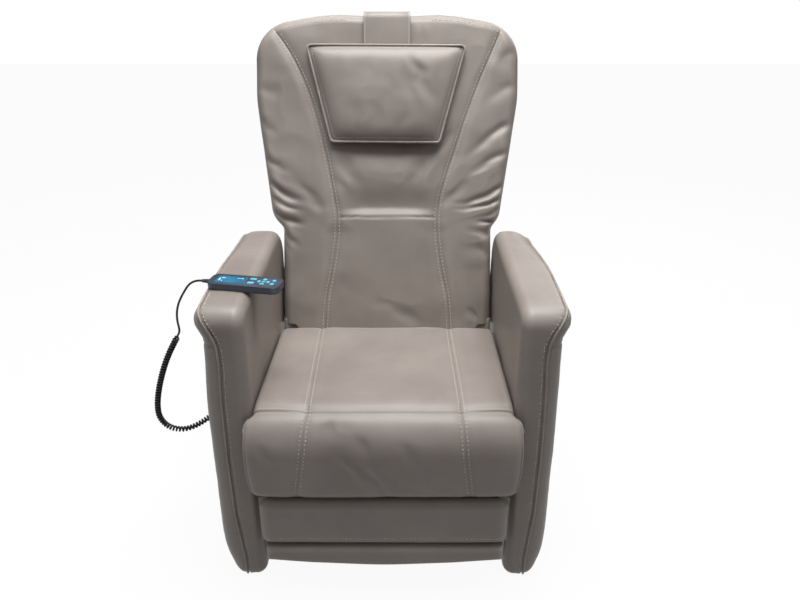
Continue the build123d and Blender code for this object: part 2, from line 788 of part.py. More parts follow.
# ---- Back, modelled upright at the pivot and then leaned ----
def back_outline(inset):
    """Front view: narrow between the arms, wide at the shoulders, with a shallow arch on top."""
    corners = [
        ((BACK_WAIST, BACK_FLARE_START), 20),
        ((BACK_HIP, BACK_HIP_HEIGHT), 60),
        ((BACK_SHOULDER, BACK_HEIGHT - 245), 300),
        ((BACK_SHOULDER, BACK_HEIGHT - 30), 95),
        ((BACK_SHOULDER - 172, BACK_HEIGHT), 900),
    ]
    half = [(BACK_WAIST, 0)] + [at for at, _ in corners]
    face = make_face(Polyline(*half, *[(-x, s) for x, s in reversed(half)], close=True))
    for (x, s), radius in corners:
        for side in (-1, 1):
            face = fillet(face.vertices().sort_by_distance((side * x, s))[0], radius)
    return offset(face, amount=-inset) if inset else face


def back_slab(inset):
    depth = BACK_FRONT + BACK_REAR - 2 * inset
    slab = extrude(Plane.XZ.offset(-BACK_REAR + inset) * back_outline(inset), amount=depth)
    edges = slab.faces().sort_by(Axis.Y)[0].outer_wire().edges()
    return fillet([e for e in edges if e.center().Z > inset + 1], BACK_ROUND - inset)


def back_notches():
    """Room at the bottom for the hinge plates and for the crank."""
    x = BACK_HINGE_X - BACK_TUBE
    notch = box(x, HALF + 10, -BACK_FRONT - 2, BACK_REAR + 2, -2, 44)
    side = BACK_MOTOR_X - CRANK_SIDE
    crank = box(side - PLATE - 2, side + 2, BACK_TUBE_T - EYE - 2, BACK_REAR + 1, -2, UPRIGHT_LOW)
    return notch + mirror(notch, about=Plane.YZ) + crank


def back_cushion():
    """Cover, rear panel and foam; the frame fills the hollow between foam and panel."""
    outside, inside = back_slab(0), back_slab(LEATHER)
    notches = back_notches()
    hollow_from = BACK_TUBE_T - BACK_TUBE - 2 * SPRING_WIRE - 2 * CLEAR
    foam = inside - notches
    foam -= box(-400, 400, hollow_from, BACK_REAR + 5, -5, BACK_HEIGHT + 5)
    shell = outside - inside - notches
    rear = box(-400, 400, BACK_REAR - LEATHER, BACK_REAR + 1, -5, BACK_HEIGHT + 5)
    return TILT * (shell - rear), TILT * (shell & rear), TILT * foam


UPRIGHT_X = HALF - BACK_TUBE_INSET - 3.5
UPRIGHT_LOW = 14
UPRIGHT_HIGH = BACK_HEIGHT - 145
CROSS_S = (UPRIGHT_LOW + BACK_TUBE, 330, UPRIGHT_HIGH - BACK_TUBE)


def back_frame():
    """Two upright tubes and three cross tubes between them."""
    wall = 2
    tubes = []
    for side in (-1, 1):
        at = Pos(side * UPRIGHT_X, BACK_TUBE_T, (UPRIGHT_LOW + UPRIGHT_HIGH) / 2)
        length = UPRIGHT_HIGH - UPRIGHT_LOW
        tubes.append(at * (Cylinder(BACK_TUBE, length) - Cylinder(BACK_TUBE - wall, length + 2)))
    upright = disc_z(UPRIGHT_X) + disc_z(-UPRIGHT_X)
    for s in CROSS_S:
        tube = ring_x(-UPRIGHT_X, UPRIGHT_X, (BACK_TUBE_T, s), BACK_TUBE - wall, BACK_TUBE)
        tubes.append(tube - upright)
    return [TILT * t for t in tubes]


def disc_z(x):
    """The space an upright tube fills."""
    return Pos(x, BACK_TUBE_T, BACK_HEIGHT / 2) * Cylinder(BACK_TUBE + RUNNING, BACK_HEIGHT)


def back_springs():
    t = BACK_TUBE_T - BACK_TUBE - SPRING_WIRE
    low, high = CROSS_S[0], CROSS_S[2]
    spring = Rot(90, 0, 0) * zigzag(high - low, 24, 24)
    return [TILT * Pos(x, t, low) * spring for x in (-130, 0, 130)]


def back_hinge_plates():
    """From the uprights forward to the pivots."""
    x = BACK_HINGE_X
    plate = plate_x(
        x,
        x + PLATE,
        [
            (-EYE, -EYE),
            (EYE, -EYE),
            (BACK_TUBE_T + BACK_TUBE - 2, UPRIGHT_LOW),
            (BACK_TUBE_T + BACK_TUBE - 2, 42),
            (BACK_TUBE_T - BACK_TUBE + 2, 42),
            (-EYE, EYE),
        ],
        4,
    )
    plate -= disc_x(x - 1, x + PLATE + 1, 0, 0, PIN + RUNNING)
    upright = Pos(UPRIGHT_X, BACK_TUBE_T, 30) * Cylinder(BACK_TUBE, 200)
    return [TILT * s for s in both_sides(plate - upright)]


def back_crank():
    """From the lower cross tube down to the pin in the back rod's yoke."""
    x = BACK_MOTOR_X - CRANK_SIDE
    lean = radians(LEAN)
    tube = (
        PIVOT_Y + CROSS_S[0] * sin(lean) + BACK_TUBE_T * cos(lean),
        PIVOT_Z + CROSS_S[0] * cos(lean) - BACK_TUBE_T * sin(lean),
    )
    pin_at = (BACK_PIN_Y, BACK_PIN_Z)
    crank = link_x(x - PLATE, x, tube, pin_at, EYE)
    crank -= disc_x(x - PLATE - 1, x + 1, *tube, BACK_TUBE)
    return crank + pin_x(x, BACK_MOTOR_X + PIN_END, pin_at, PIN)


def strap_profile(gap):
    """Side view of the strap's path over the top of the back, gap away from it."""
    face = make_face(
        Polyline(
            (-BACK_FRONT - gap, STRAP_LOW),
            (-BACK_FRONT - gap, BACK_HEIGHT + gap),
            (BACK_REAR + gap, BACK_HEIGHT + gap),
            (BACK_REAR + gap, STRAP_LOW),
            close=True,
        )
    )
    for y in (-BACK_FRONT - gap, BACK_REAR + gap):
        radius = BACK_ROUND + gap if y < 0 else gap
        face = fillet(face.vertices().sort_by_distance((y, BACK_HEIGHT + gap))[0], radius)
    return face


STRAP_LOW = PILLOW_BOTTOM + PILLOW_HEIGHT + 3 + 34


def pillow_strap():
    """Flat band over the top of the back, down its rear to the counterweight's highest place."""
    half = STRAP_WIDTH / 2
    outer = strap_profile(CLEAR + STRAP)
    inner = strap_profile(CLEAR)
    band = extrude(Plane.YZ * (outer - inner), amount=half, both=True)
    return TILT * band


def pillow_outline():
    top = PILLOW_BOTTOM + PILLOW_HEIGHT
    return make_face(
        Polyline(
            (-PILLOW_BOTTOM_WIDTH / 2, PILLOW_BOTTOM),
            (PILLOW_BOTTOM_WIDTH / 2, PILLOW_BOTTOM),
            (PILLOW_TOP_WIDTH / 2, top),
            (-PILLOW_TOP_WIDTH / 2, top),
            close=True,
        )
    )


def head_pillow():
    face = fillet(pillow_outline().vertices(), 20)
    front = -BACK_FRONT - CLEAR
    pillow = extrude(Plane.XZ.offset(-front) * face, amount=PILLOW_DEPTH)
    pillow = fillet(pillow.faces().sort_by(Axis.Y)[0].outer_wire().edges(), 12)
    return TILT * pillow


def pillow_counterweight():
    """Weighted pouch on the strap behind the back."""
    half = STRAP_WIDTH / 2
    rear = BACK_REAR + CLEAR
    pouch = box(-half, half, rear, rear + 14, WEIGHT_TOP - 130, WEIGHT_TOP)
    pouch = fillet(pouch.edges().filter_by(Axis.Z), 4)
    return TILT * pouch


# ---- Legrest ----
def legrest_pad():
    """Upholstered panel under the seat roll."""
    pad = box(-LEG_HALF, LEG_HALF, LEG_FRONT, LEG_FRONT + LEG_PAD, LEG_BOTTOM, LEG_TOP)
    front = pad.edges().filter_by(Axis.X).group_by(Axis.Y)[0]
    return fillet(front, LEG_ROUND)


def legrest_board():
    y = LEG_FRONT + LEG_PAD
    return box(-LEG_HALF + 4, LEG_HALF - 4, y, y + LEG_BOARD, LEG_BOTTOM + 4, LEG_TOP - 9)


GUIDE_X = 170
SLIDE = (12, 8)  # width and depth of a footplate slide bar
GUIDE_WALL = 2


def legrest_guides():
    """Channels behind the board in which the footplate's bars slide."""
    y = LEG_FRONT + LEG_PAD + LEG_BOARD
    guides = []
    for x in (-GUIDE_X, GUIDE_X):
        half = SLIDE[0] / 2 + BORE_CLEAR
        depth = SLIDE[1] + 2 * BORE_CLEAR
        wide = half + GUIDE_WALL
        outer = box(x - wide, x + wide, y, y + depth + GUIDE_WALL, LEG_BOTTOM + 4, LEG_TOP - 26)
        guides.append(outer - box(x - half, x + half, y - 1, y + depth, 0, 400))
    return guides


def legrest_brackets():
    """Hinge plates at the ends of the board and the crank plate, each with its pin hole or pin."""
    x = LEG_HINGE_X
    y = LEG_FRONT + LEG_PAD + LEG_BOARD
    plate = plate_x(
        x,
        x + PLATE,
        [(y, LEG_PIVOT[1] - 50), (y, LEG_PIVOT[1]), (LEG_PIVOT[0], LEG_PIVOT[1]), (y + 7, LEG_PIVOT[1] - 50)],
    )
    plate += disc_x(x, x + PLATE, *LEG_PIVOT, 11)
    plate -= disc_x(x - 1, x + PLATE + 1, *LEG_PIVOT, PIN + RUNNING)
    side = LEG_MOTOR_X - CRANK_SIDE
    crank = plate_x(
        side - PLATE,
        side,
        [
            (y, LEG_ROD_Z - 12),
            (y, LEG_PIVOT[1] + 4),
            (LEG_PIN_Y + 4, LEG_PIN_Z + 12),
            (LEG_PIN_Y + 4, LEG_PIN_Z - 12),
        ],
    )
    crank += disc_x(side - PLATE, side, LEG_PIN_Y, LEG_PIN_Z, 12)
    crank += pin_x(side, LEG_MOTOR_X + PIN_END, (LEG_PIN_Y, LEG_PIN_Z), PIN)
    return both_sides(plate) + [crank]


LEG_HINGE_X = RAIL_INNER + 3


def legrest_hangers():
    """L-shaped plates under the seat rails, with the legrest's pivot pins."""
    x = LEG_HINGE_X + PLATE + 2
    low = RAIL_TOP - RAIL_HEIGHT
    y, z = LEG_PIVOT
    plate = plate_x(
        x,
        x + PLATE,
        [
            (y, z - 10),
            (y + 58, z - 10),
            (y + 58, low),
            (y + 30, low),
            (y + 30, z + 8),
            (y, z + 8),
        ],
    )
    plate += disc_x(x, x + PLATE, y, z, 10)
    plate += pin_x(LEG_HINGE_X - 2, x, LEG_PIVOT, PIN)
    return both_sides(plate)


def footplate_outline():
    """Front view of the footplate: its lower edge curves down in the middle."""
    half = FOOT_HALF_WIDTH
    return make_face(
        Line((-half, FOOT_TOP), (half, FOOT_TOP))
        + Line((half, FOOT_TOP), (half - 4, FOOT_SIDE_BOTTOM))
        + ThreePointArc((half - 4, FOOT_SIDE_BOTTOM), (0, FOOT_BOTTOM), (-half + 4, FOOT_SIDE_BOTTOM))
        + Line((-half + 4, FOOT_SIDE_BOTTOM), (-half, FOOT_TOP))
    )


def footplate():
    front = LEG_FRONT + 2
    pad = extrude(Plane.XZ.offset(-front - 24) * footplate_outline(), amount=24)
    return fillet(pad.faces().sort_by(Axis.Y)[0].outer_wire().edges(), 8)


def footplate_slides():
    """Flat bars up into the legrest's channels, cranked onto the footplate's rear."""
    y = LEG_FRONT + LEG_PAD + LEG_BOARD + BORE_CLEAR
    pad_rear = LEG_FRONT + 26
    bars = []
    for x in (-GUIDE_X, GUIDE_X):
        half = SLIDE[0] / 2
        bar = box(x - half, x + half, y, y + SLIDE[1], FOOT_TOP - 18, LEG_TOP - 30)
        bar += box(x - half, x + half, pad_rear, y + SLIDE[1], FOOT_TOP - 18, FOOT_TOP - 1)
        bars.append(bar)
    return bars


# ---- Handset, modelled level at its own centre and then laid on the arm ----
def laid(shape):
    """Onto the sloping arm top."""
    out, y = HANDSET_CENTRE
    z = ARM_TOP_FRONT + (y - ARM_FRONT) * tan(radians(ARM_SLOPE)) + CLEAR
    return Pos(-HALF - out, y, z) * Rot(ARM_SLOPE, 0, 0) * Rot(0, 0, HANDSET_YAW) * shape


def handset_block(z0, z1, shrink=0):
    length, width, _ = HANDSET
    face = RectangleRounded(length - 2 * shrink, width - 2 * shrink, width * 0.28 - shrink)
    return extrude(Plane.XY.offset(z0) * face, amount=z1 - z0)


FACE_Z = HANDSET[2] - HANDSET_LID
# Each key: name, place on the face, length, width.
KEYS = [
    ("key_recline", 14, 9, 13, 8),
    ("key_upright", 14, -9, 13, 8),
    ("key_legs_up", 38, 10.5, 8, 6),
    ("key_legs_down", 38, -10.5, 8, 6),
    ("key_lift", 47.5, 0, 6, 8),
    ("key_lower", 28.5, 0, 6, 8),
    ("key_stop", 38, 0, 7, 7),
    ("key_memory_1", 58, 7.5, 7, 8),
    ("key_memory_2", 58, -7.5, 7, 8),
]


def handset_base():
    """Lower shell: a tray that holds the key pad, with the cord's boot moulded on its end."""
    tray = handset_block(0, FACE_Z) - handset_block(3, FACE_Z + 1, 3)
    return fillet(tray.faces().sort_by(Axis.Z)[0].outer_wire().edges(), 2.5)


def handset_top():
    """Upper shell with a hole for each key."""
    length = HANDSET[0]
    lid = handset_block(FACE_Z, HANDSET[2])
    lid = fillet(lid.faces().sort_by(Axis.Z)[-1].outer_wire().edges(), 1.5)
    for _, x, y, long, wide in KEYS:
        lid -= Pos(x, y, FACE_Z) * Box(long + 2 * CLEAR, wide + 2 * CLEAR, 30)
    return lid - Pos(-length * 0.2, 0, HANDSET[2]) * Box(*DISPLAY)


DISPLAY = (62, 32, 2.4)


def handset_display():
    """Lit glass set into the upper shell."""
    x, y, z = DISPLAY
    return Pos(-HANDSET[0] * 0.2, 0, HANDSET[2] - z / 4) * Box(x, y, z / 2)


def handset_board():
    """Circuit board on the tray's floor."""
    return handset_block(3, 5, 3 + CLEAR)


def handset_boot():
    length, wide, narrow = BOOT
    start = -HANDSET[0] / 2
    middle = HANDSET[2] / 2
    cone = Rot(0, -90, 0) * Cone(wide, narrow, length)
    return Pos(start - length / 2, 0, middle) * cone


def key(x, y, long, wide):
    """A key cap standing just out of the face, with a flange under it."""
    cap = Pos(x, y, (FACE_Z + HANDSET[2] + 1.2) / 2) * Box(long, wide, HANDSET[2] + 1.2 - FACE_Z)
    cap = fillet(cap.edges().filter_by(Axis.Z), min(long, wide) * 0.3)
    return cap


# ---- Cord ----
def cord_tube(route, diameter, name):
    """A tube along straight runs joined by tangent arcs as large as the runs allow."""
    points = [Vector(*p) for p in route]
    radii = []
    for before, at, after in zip(points, points[1:], points[2:]):
        run_in, run_out = at - before, after - at
        shorter = min(run_in.length, run_out.length)
        radii.append(0.45 * shorter / tan(radians(run_in.get_angle(run_out) / 2)))
    path = FilletPolyline(*points, radius=radii)
    tube = sweep(Plane(path @ 0, z_dir=path % 0) * Circle(diameter / 2), path=path)
    expected = pi * (diameter / 2) ** 2 * path.length
    print(f"{name}: length {path.length:.1f} mm, volume/expected {tube.volume / expected:.5f}")
    print("  radii", [round(r, 1) for r in radii])
    return tube


# ---- Write every node ----
save("base_side_rails", *base_side_rails())
save("base_cross_rails", *base_cross_rails())
save("floor_glides", *glides())
save("base_brackets", *lift_brackets(), *rear_pivot_pins(), *lift_motor_stand())
save("lift_motor", lift_motor())
save("lift_rod", lift_rod())
save("front_lift_links", *front_lift_links())
save("lift_torque_tube", *lift_torque_tube())
save("rear_lift_links", *rear_lift_links())

save("seat_side_rails", *seat_side_rails())
save("seat_cross_members", *seat_cross_members())
save("drop_plates", *drop_plates(), *chassis_pins())
save("seat_springs", *seat_springs())
seat_cover, seat_foam = seat_cushion()
save("seat_cover", seat_cover)
save("seat_foam", seat_foam)

wrap, outer_panel, arm_foam, arm_board = arm_parts()
save("arm_boards", *both_sides(arm_board))
save("arm_cover_right", wrap)
save("arm_cover_left", mirror(wrap, about=Plane.YZ))
save("arm_outer_panel_right", outer_panel - socket_hole())
save("arm_outer_panel_left", mirror(outer_panel, about=Plane.YZ))
save("arm_foam", arm_foam - socket_hole(), mirror(arm_foam, about=Plane.YZ))
save("arm_bolts", *arm_bolts(), *arm_sleeves())
save("rear_valance", rear_valance())
save("back_hinge_brackets", *back_hinge_brackets(), *back_pivot_pins())
save("back_motor", back_motor())
save("legrest_motor", legrest_motor())
save("motor_mounts", *motor_mounts())
save("control_box", control_box())
save("mains_inlet", mains_inlet())
save("legrest_hangers", *legrest_hangers())
save("handset_socket", handset_socket())
save("handset_lead", cord_tube(LEAD_ROUTE, LEAD, "lead"))
save("handset_coil", cord_tube(COIL_ROUTE, COIL, "coil"))
save("handset_tail", cord_tube(TAIL_ROUTE, LEAD, "tail"))

back_cover, back_rear_panel, back_foam = back_cushion()
save("back_cover", back_cover)
save("back_rear_panel", back_rear_panel)
save("back_foam", back_foam)
save("back_frame", *back_frame())
save("back_springs", *back_springs())
save("back_hinge_plates", *back_hinge_plates(), back_crank())
save("back_rod", back_rod())
save("pillow_strap", pillow_strap())
save("head_pillow", head_pillow())
save("pillow_counterweight", pillow_counterweight())

save("legrest_pad", legrest_pad())
save("legrest_board", legrest_board(), *legrest_guides())
save("legrest_brackets", *legrest_brackets())
save("legrest_rod", legrest_rod())
save("footplate", footplate(), *footplate_slides())

save("handset_base", laid(handset_base()), laid(handset_boot()))
save("handset_top", laid(handset_top()), laid(handset_display()), laid(handset_board()))
for name, x, y, long, wide in KEYS:
    save(name, laid(key(x, y, long, wide)))
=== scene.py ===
"""Patient recliner: leather upholstery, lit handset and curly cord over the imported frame."""

from math import ceil, cos, pi, radians, sin, tan

import bpy
import bmesh
import numpy as np
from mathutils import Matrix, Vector


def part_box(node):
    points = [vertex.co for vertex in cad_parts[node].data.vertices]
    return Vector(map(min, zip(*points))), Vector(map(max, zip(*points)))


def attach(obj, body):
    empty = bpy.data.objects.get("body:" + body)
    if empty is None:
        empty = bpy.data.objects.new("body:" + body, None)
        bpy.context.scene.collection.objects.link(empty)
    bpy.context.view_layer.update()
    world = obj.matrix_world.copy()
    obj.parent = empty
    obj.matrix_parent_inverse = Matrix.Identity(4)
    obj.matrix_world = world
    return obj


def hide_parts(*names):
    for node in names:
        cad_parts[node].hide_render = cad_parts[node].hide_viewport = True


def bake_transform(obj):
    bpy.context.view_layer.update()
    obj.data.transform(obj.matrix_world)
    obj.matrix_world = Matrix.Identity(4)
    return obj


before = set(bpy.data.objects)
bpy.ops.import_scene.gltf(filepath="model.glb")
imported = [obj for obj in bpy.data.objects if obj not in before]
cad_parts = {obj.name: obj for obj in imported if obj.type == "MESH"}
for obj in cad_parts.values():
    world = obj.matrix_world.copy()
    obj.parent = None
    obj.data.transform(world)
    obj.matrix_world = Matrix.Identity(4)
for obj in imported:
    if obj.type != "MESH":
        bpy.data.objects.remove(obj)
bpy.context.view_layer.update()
scene = bpy.context.scene

# Sizes below are in millimetres, in the CAD's frame; meshes are written in metres.
PIVOT = (65, 385)  # the back's pivot, as (Y, Z)
LEAN = radians(20)
INNER = 262  # the arms' inner faces
TABLE = np.random.RandomState(11).uniform(-1, 1, (128, 128))


# ---------------------------------------------------------------- shapes
def line_of(points):
    return np.array(points, float)


def lengths(line):
    return np.r_[0, np.cumsum(np.linalg.norm(np.diff(line, axis=0), axis=1))]


def spaced(line, count):
    """The line again, with this many points evenly along it."""
    s = lengths(line)
    at = np.linspace(0, s[-1], count)
    return np.stack([np.interp(at, s, line[:, k]) for k in range(line.shape[1])], 1)


def placed(line, share):
    """Points of the line at these shares of its length."""
    s = lengths(line)
    return np.stack([np.interp(share * s[-1], s, line[:, k]) for k in range(line.shape[1])], 1)


def flowing(points, steps=8):
    """A smooth line through the points."""
    p = line_of(points)
    p = np.vstack([2 * p[0] - p[1], p, 2 * p[-1] - p[-2]])
    t = np.linspace(0, 1, steps, endpoint=False)[:, None]
    out = []
    for a, b, c, d in zip(p[:-3], p[1:-2], p[2:-1], p[3:]):
        out.append(0.5 * (2 * b + (c - a) * t + (2 * a - 5 * b + 4 * c - d) * t**2
            + (3 * b - a - 3 * c + d) * t**3))
    return np.vstack([*out, p[-2:-1]])


def rounded(points, radii, closed=False):
    """A line whose corners are arcs, one radius for each corner."""
    p = line_of(points)
    n = len(p)
    out = [] if closed else [p[0]]
    for k in range(n) if closed else range(1, n - 1):
        a, b = p[k] - p[k - 1], p[(k + 1) % n] - p[k]
        a, b = a / np.linalg.norm(a), b / np.linalg.norm(b)
        r = radii[k if closed else k - 1]
        turn = np.arccos(np.clip(a @ b, -1, 1))
        side = np.sign(a[0] * b[1] - a[1] * b[0])
        start = p[k] - a * r * tan(turn / 2)
        normal = np.array([-a[1], a[0]]) * side
        angles = np.linspace(0, turn, max(4, int(ceil(r * turn / 2))))
        for w in angles:
            out.append(start + a * r * sin(w) + normal * r * (1 - cos(w)))
    out.append(out[0] if closed else p[-1])
    out = np.array(out)
    return out[np.r_[True, np.linalg.norm(np.diff(out, axis=0), axis=1) > 1e-6]]


def spread(width, step, start=True, end=True, fine=(0, 0.8, 2.2, 4.2, 7, 10.5, 14.5, 19)):
    """Shares from 0 to 1 with step between them, and closer together at the ends asked for."""
    lo, hi = (fine[-1] if start else 0), width - (fine[-1] if end else 0)
    middle = np.linspace(lo, hi, max(2, int(round((hi - lo) / step)) + 1))
    parts = [np.array(fine[:-1])] if start else []
    parts.append(middle)
    if end:
        parts.append(width - np.array(fine[:-1])[::-1])
    return np.concatenate(parts) / width


def coons(low, high, left, right, u, v):
    """A grid of points, rows by columns, between four edge lines."""
    b, t, l, r = placed(low, u), placed(high, u), placed(left, v), placed(right, v)
    uu, vv = u[None, :, None], v[:, None, None]
    corners = (1 - uu) * (1 - vv) * b[0] + uu * (1 - vv) * b[-1] + (1 - uu) * vv * t[0] + uu * vv * t[-1]
    return (1 - vv) * b[None] + vv * t[None] + (1 - uu) * l[:, None] + uu * r[:, None] - corners


def nearest(u, v, line):
    """Signed distance to a 2-D line, positive on its right, and the share of its length there."""
    best = np.full(np.shape(u), 1e9)
    side, along = np.zeros_like(best), np.zeros_like(best)
    s = lengths(line)
    for k, (a, b) in enumerate(zip(line[:-1], line[1:])):
        d = b - a
        if d @ d < 1e-9:
            continue
        t = np.clip(((u - a[0]) * d[0] + (v - a[1]) * d[1]) / (d @ d), 0, 1)
        x, y = u - a[0] - t * d[0], v - a[1] - t * d[1]
        dist = np.hypot(x, y)
        m = dist < best
        best[m] = dist[m]
        side[m] = np.sign(x * d[1] - y * d[0])[m]
        along[m] = (s[k] + t * (s[k + 1] - s[k]))[m]
    return best * np.where(side == 0, 1, side), along / s[-1]


def smooth(x, lo, hi):
    t = np.clip((x - lo) / (hi - lo), 0, 1)
    return t * t * (3 - 2 * t)


def uneven(u, v, size, shift=0.0):
    """Smooth values from -1 to 1 that change over about this many millimetres."""
    a = np.asarray(u) / size + 37.7 + shift * 3.1
    b = np.asarray(v) / size + 61.3 + shift * 5.7
    i, j = np.floor(a).astype(int), np.floor(b).astype(int)
    fa, fb = a - i, b - j
    fa, fb = fa * fa * (3 - 2 * fa), fb * fb * (3 - 2 * fb)
    at = lambda m, n: TABLE[m % 128, n % 128]
    near, far = (at(i, k) * (1 - fa) + at(i + 1, k) * fa for k in (j, j + 1))
    return near * (1 - fb) + far * fb


def creases(u, v, folds, start=0.10, lip=0.5):
    """How far a set of folds presses in: each is (points, width, depth), with a soft lip on one side."""
    total = np.zeros(np.shape(u))
    for points, width, depth in folds:
        d, t = nearest(u, v, flowing(points, 5))
        d = d + uneven(u, v, 26, depth) * width * 0.35
        fade = smooth(t, -0.02, start) * (1 - smooth(t, 0.35, 1.0)) * np.where((t <= 0) | (t >= 1), 0.9, 1)
        w = width * (0.75 + 0.5 * t)
        total += fade * depth * (np.exp(-((d / w) ** 2)) - lip * np.exp(-(((d + 2.0 * w) / (1.5 * w)) ** 2)))
    return total


def seam_dip(d, along, broad=3.6, fine=2.0, pucker=0.5):
    """A sewn seam: a shallow valley, the fine line in it, and the puckers that the stitches pull."""
    dip = broad * np.exp(-((d / 13) ** 2)) + fine * np.exp(-((d / 1.9) ** 2))
    return dip + pucker * np.cos(2 * pi * along / 7) * np.exp(-(((np.abs(d) - 5.5) / 3) ** 2))


# ---------------------------------------------------------------- meshes
def quads(rows, cols, start=0, wrap=False):
    r = np.arange(rows if wrap else rows - 1)[:, None]
    c = np.arange(cols - 1)[None, :]
    n = (r + 1) % rows
    return (start + np.stack([r * cols + c, n * cols + c,
        n * cols + c + 1, r * cols + c + 1], -1)).reshape(-1, 4)


def add_piece(name, verts, faces, material, body=None):
    """One mesh object, from vertices in millimetres."""
    mesh = bpy.data.meshes.new(name)
    mesh.from_pydata((np.asarray(verts) / 1000).tolist(), [], [list(map(int, f)) for f in faces])
    bm = bmesh.new()
    bm.from_mesh(mesh)
    bmesh.ops.remove_doubles(bm, verts=bm.verts, dist=2e-6)
    bmesh.ops.recalc_face_normals(bm, faces=bm.faces)
    bm.to_mesh(mesh)
    bm.free()
    mesh.shade_smooth()
    mesh.materials.append(material)
    obj = bpy.data.objects.new(name, mesh)
    scene.collection.objects.link(obj)
    if body:
        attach(obj, body)
    return obj


def slab(patch, front, rear, between):
    """A closed pad: front and rear faces over the same patch of 2-D points, and rings between their edges.
    front and rear are depths at the patch's points; between lists (share of the depth, inset) of each ring."""
    rows, cols, _ = patch.shape
    f = np.dstack([patch, front]).reshape(-1, 3)
    r = np.dstack([patch, rear]).reshape(-1, 3)
    n = rows * cols
    grid = np.arange(n).reshape(rows, cols)
    loop = np.r_[grid[0, :], grid[1:, -1], grid[-1, -2::-1], grid[-2:0:-1, 0]]
    middle = patch.reshape(-1, 2).mean(0)
    verts, rings = [f, r], [loop]
    count = 2 * n
    for share, inset in between:
        ring = f[loop] * (1 - share) + r[loop] * share
        away = ring[:, :2] - middle
        ring[:, :2] -= away / np.linalg.norm(away, axis=1)[:, None] * inset
        verts.append(ring)
        rings.append(np.arange(count, count + len(loop)))
        count += len(loop)
    rings.append(loop + n)
    faces = [quads(rows, cols), quads(rows, cols, n)]
    for a, b in zip(rings[:-1], rings[1:]):
        faces.append(np.stack([a, np.roll(a, -1), np.roll(b, -1), b], -1))
    return np.vstack(verts), np.vstack(faces)


def transported(line):
    """Two directions across a 3-D line at each point, turning as little as they can."""
    t = np.gradient(line, axis=0)
    t /= np.linalg.norm(t, axis=1)[:, None]
    up = np.array([0, 0, 1.0]) if abs(t[0, 2]) < 0.8 else np.array([1.0, 0, 0])
    a = np.zeros_like(line)
    a[0] = np.cross(t[0], up)
    a[0] /= np.linalg.norm(a[0])
    for k in range(1, len(line)):
        v = a[k - 1] - t[k] * (a[k - 1] @ t[k])
        a[k] = v / np.linalg.norm(v)
    return a, np.cross(t, a)


def tube(line, radius, sides=8, flat=1.0):
    """A round or flattened tube along a 3-D line, with closed ends."""
    a, b = transported(line)
    w = np.arange(sides) * 2 * pi / sides
    r = np.broadcast_to(radius, len(line))[:, None, None]
    ring = line[:, None] + r * (a[:, None] * np.cos(w)[None, :, None] + flat * b[:, None] * np.sin(w)[None, :, None])
    n = len(line)
    verts = ring.reshape(-1, 3)
    k = np.arange(n - 1)[:, None] * sides
    j = np.arange(sides)[None, :]
    j2 = (j + 1) % sides
    faces = np.stack([k + j, k + j2, k + sides + j2, k + sides + j], -1).reshape(-1, 4)
    ends = [list(range(sides)), list(range((n - 1) * sides, n * sides))]
    return verts, [*faces.tolist(), *ends]


def stitches(line, out, pitch=9.0, long=5.0, radius=0.78):
    """A row of sewn stitches along a 3-D line; out points away from the leather."""
    s = lengths(line)
    count = int(s[-1] // pitch)
    verts, faces = [], []
    share = np.array([0, 0.25, 0.75, 1.0])
    rise = np.array([-0.35, 0.25, 0.25, -0.35])
    w = np.arange(6) * pi / 3
    for k in range(count):
        at = (k + 0.5) * pitch + (share - 0.5) * long
        p = np.stack([np.interp(at, s, line[:, c]) for c in range(3)], 1)
        n = np.array([np.interp(at[1], s, out[:, c]) for c in range(3)])
        n /= np.linalg.norm(n)
        d = p[-1] - p[0]
        if np.linalg.norm(d) < 1e-6:
            continue
        d /= np.linalg.norm(d)
        side = np.cross(d, n)
        thick = radius * np.array([0.5, 1, 1, 0.5])
        centre = p + n * rise[:, None]
        ring = centre[:, None] + thick[:, None, None] * (
            side[None, None] * np.cos(w)[None, :, None] + n[None, None] * np.sin(w)[None, :, None]
        )
        start = len(verts) * 24
        verts.append(ring.reshape(-1, 3))
        for r in range(3):
            for j in range(6):
                j2 = (j + 1) % 6
                faces.append([start + r * 6 + j, start + r * 6 + j2, start + r * 6 + 6 + j2, start + r * 6 + 6 + j])
        faces.append([start + j for j in range(6)])
        faces.append([start + 18 + j for j in range(6)])
    return np.vstack(verts), faces


def join(*parts):
    """Several (vertices, faces) as one."""
    verts, faces, start = [], [], 0
    for v, f in parts:
        verts.append(v)
        faces += [[int(i) + start for i in face] for face in f]
        start += len(v)
    return np.vstack(verts), faces


# ---------------------------------------------------------------- materials
def srgb(r, g, b):
    return tuple(((c / 255 + 0.055) / 1.055) ** 2.4 if c > 10 else c / 255 / 12.92 for c in (r, g, b)) + (1,)


